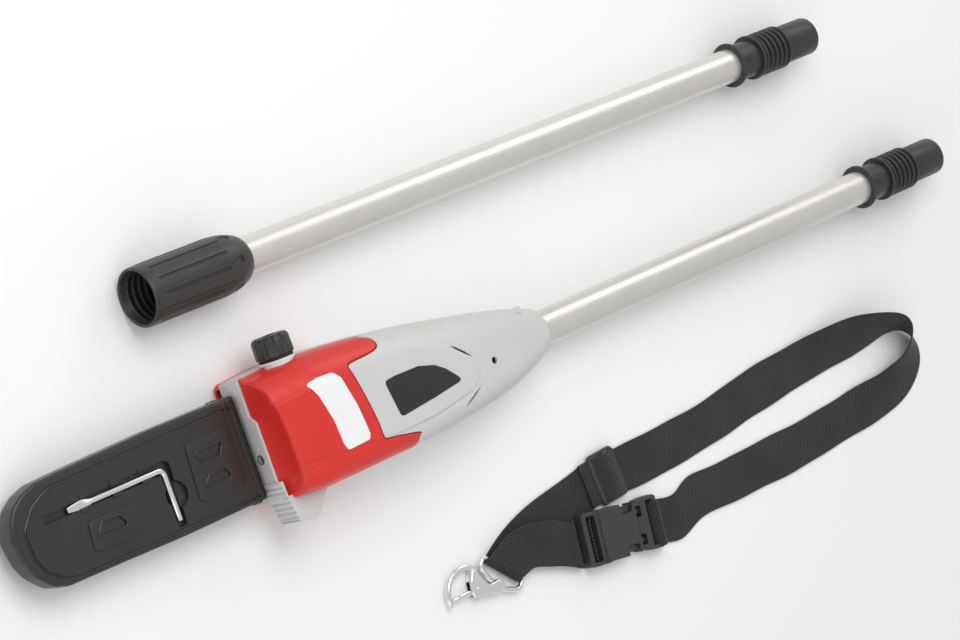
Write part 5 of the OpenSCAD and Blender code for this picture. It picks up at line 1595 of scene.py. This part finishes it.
class SAW_OT_stage(bpy.types.Operator):
    """Builds the floor, the lights and the camera"""

    bl_idname = "saw.stage"
    bl_label = "Stage"

    def execute(self, context):
        settings = context.scene.saw_stage
        context.scene.view_settings.view_transform = "Standard"
        floor = make("floor", [(-6000, -6000, FLOOR_Z), (6000, -6000, FLOOR_Z), (6000, 6000, FLOOR_Z),
                               (-6000, 6000, FLOOR_Z)], [(0, 1, 2, 3)], "studio_floor", None)
        world = bpy.data.worlds.new("surround")
        context.scene.world = world
        world.use_nodes = True
        sky = world.node_tree.nodes["Background"]
        sky.inputs["Color"].default_value = (1, 1, 1, 1)
        sky.inputs["Strength"].default_value = settings.sky
        middle_point = Vector((-0.55, 0.0, 0.0))
        for name, place, size, power in (("key", (-0.9, 0.9, 1.6), 1.4, settings.key),
                                         ("side", (-2.2, -0.9, 1.1), 1.2, settings.key * 0.35),
                                         ("back", (0.9, 1.4, 1.0), 1.2, settings.key * 0.4)):
            lamp = bpy.data.lights.new(name, "AREA")
            lamp.shape, lamp.size, lamp.energy = "DISK", size, power
            light = bpy.data.objects.new(name, lamp)
            light.location = place
            light.rotation_euler = (middle_point - Vector(place)).to_track_quat("-Z", "Y").to_euler()
            context.scene.collection.objects.link(light)
        data = bpy.data.cameras.new("camera")
        data.lens, data.sensor_width = settings.lens, 36.0
        data.clip_start, data.clip_end = 0.1, 50.0
        camera = bpy.data.objects.new("camera", data)
        turn = Matrix(VIEW_AXES).transposed().to_4x4()
        camera.matrix_world = Matrix.Translation(VIEW_FROM) @ turn
        context.scene.collection.objects.link(camera)
        context.scene.camera = camera
        return {"FINISHED"}


class SAW_OT_head(bpy.types.Operator):
    """Builds the head's shells, shroud, cover, rim, bumper and plates"""

    bl_idname = "saw.head"
    bl_label = "Saw head"

    def execute(self, context):
        build_shroud()
        build_upper_shell()
        build_lower_shell()
        build_rim()
        build_cover()
        build_bumper()
        build_plates()
        build_lugs()
        return {"FINISHED"}


class SAW_OT_drive(bpy.types.Operator):
    """Finishes the motor, gears, tank and other inner pieces"""

    bl_idname = "saw.drive"
    bl_label = "Inner drive"

    def execute(self, context):
        repaint("tank_plastic", "oil_tank")
        repaint("black_plastic", "oil_pump")
        repaint("cast_plate", "gear_plate", "bearing_bridge", "tube_clamp")
        repaint("machined_steel", "shaft_bearings", "motor_bearings", "bar_stud", "drive_sprocket",
                "crown_gear", "tension_block")
        repaint("motor_steel", "motor_can")
        repaint("winding_copper", "motor_rotor")
        repaint("zinc_plate", "cover_nut", "housing_screws", "tension_screw")
        return {"FINISHED"}


class SAW_OT_cap(bpy.types.Operator):
    """Builds the oil cap, its neck and its seal"""

    bl_idname = "saw.cap"
    bl_label = "Oil cap"

    def execute(self, context):
        build_cap()
        return {"FINISHED"}


class SAW_OT_poles(bpy.types.Operator):
    """Builds the tubes' plugs, the socket and the collar nut"""

    bl_idname = "saw.poles"
    bl_label = "Tubes and collar"

    def execute(self, context):
        build_poles()
        build_collar()
        return {"FINISHED"}


class SAW_OT_scabbard(bpy.types.Operator):
    """Builds the scabbard and the tool clipped into it"""

    bl_idname = "saw.scabbard"
    bl_label = "Scabbard and tool"

    def execute(self, context):
        build_scabbard()
        build_tool()
        return {"FINISHED"}


class SAW_OT_chain(bpy.types.Operator):
    """Builds the saw chain link by link round the bar"""

    bl_idname = "saw.chain"
    bl_label = "Bar and chain"

    def execute(self, context):
        build_chain()
        return {"FINISHED"}


class SAW_OT_strap(bpy.types.Operator):
    """Builds the webbing strap, its buckle, slider, ring and snap hook"""

    bl_idname = "saw.strap"
    bl_label = "Strap"

    def execute(self, context):
        build_strap()
        build_buckle()
        build_glide()
        build_hook()
        return {"FINISHED"}


OPERATORS = [SAW_OT_stage, SAW_OT_head, SAW_OT_drive, SAW_OT_cap, SAW_OT_poles, SAW_OT_scabbard, SAW_OT_chain,
             SAW_OT_strap]


class SAW_PT_panel(bpy.types.Panel):
    bl_idname = "SAW_PT_panel"
    bl_label = "Pole saw kit"
    bl_space_type = "VIEW_3D"
    bl_region_type = "UI"
    bl_category = "Pole saw"

    def draw(self, context):
        for operator in OPERATORS:
            self.layout.operator(operator.bl_idname)
        for group in (context.scene.saw_colours, context.scene.saw_stage):
            for name in group.__annotations__:
                self.layout.prop(group, name)


CLASSES = [SawColours, StageSettings, *OPERATORS, SAW_PT_panel]


def register():
    for item in CLASSES:
        bpy.utils.register_class(item)
    bpy.types.Scene.saw_colours = bpy.props.PointerProperty(type=SawColours)
    bpy.types.Scene.saw_stage = bpy.props.PointerProperty(type=StageSettings)


def unregister():
    del bpy.types.Scene.saw_stage
    del bpy.types.Scene.saw_colours
    for item in reversed(CLASSES):
        bpy.utils.unregister_class(item)


def main():
    register()
    for operator in OPERATORS:
        group, name = operator.bl_idname.split(".")
        getattr(getattr(bpy.ops, group), name)()


if __name__ == "__main__":
    main()
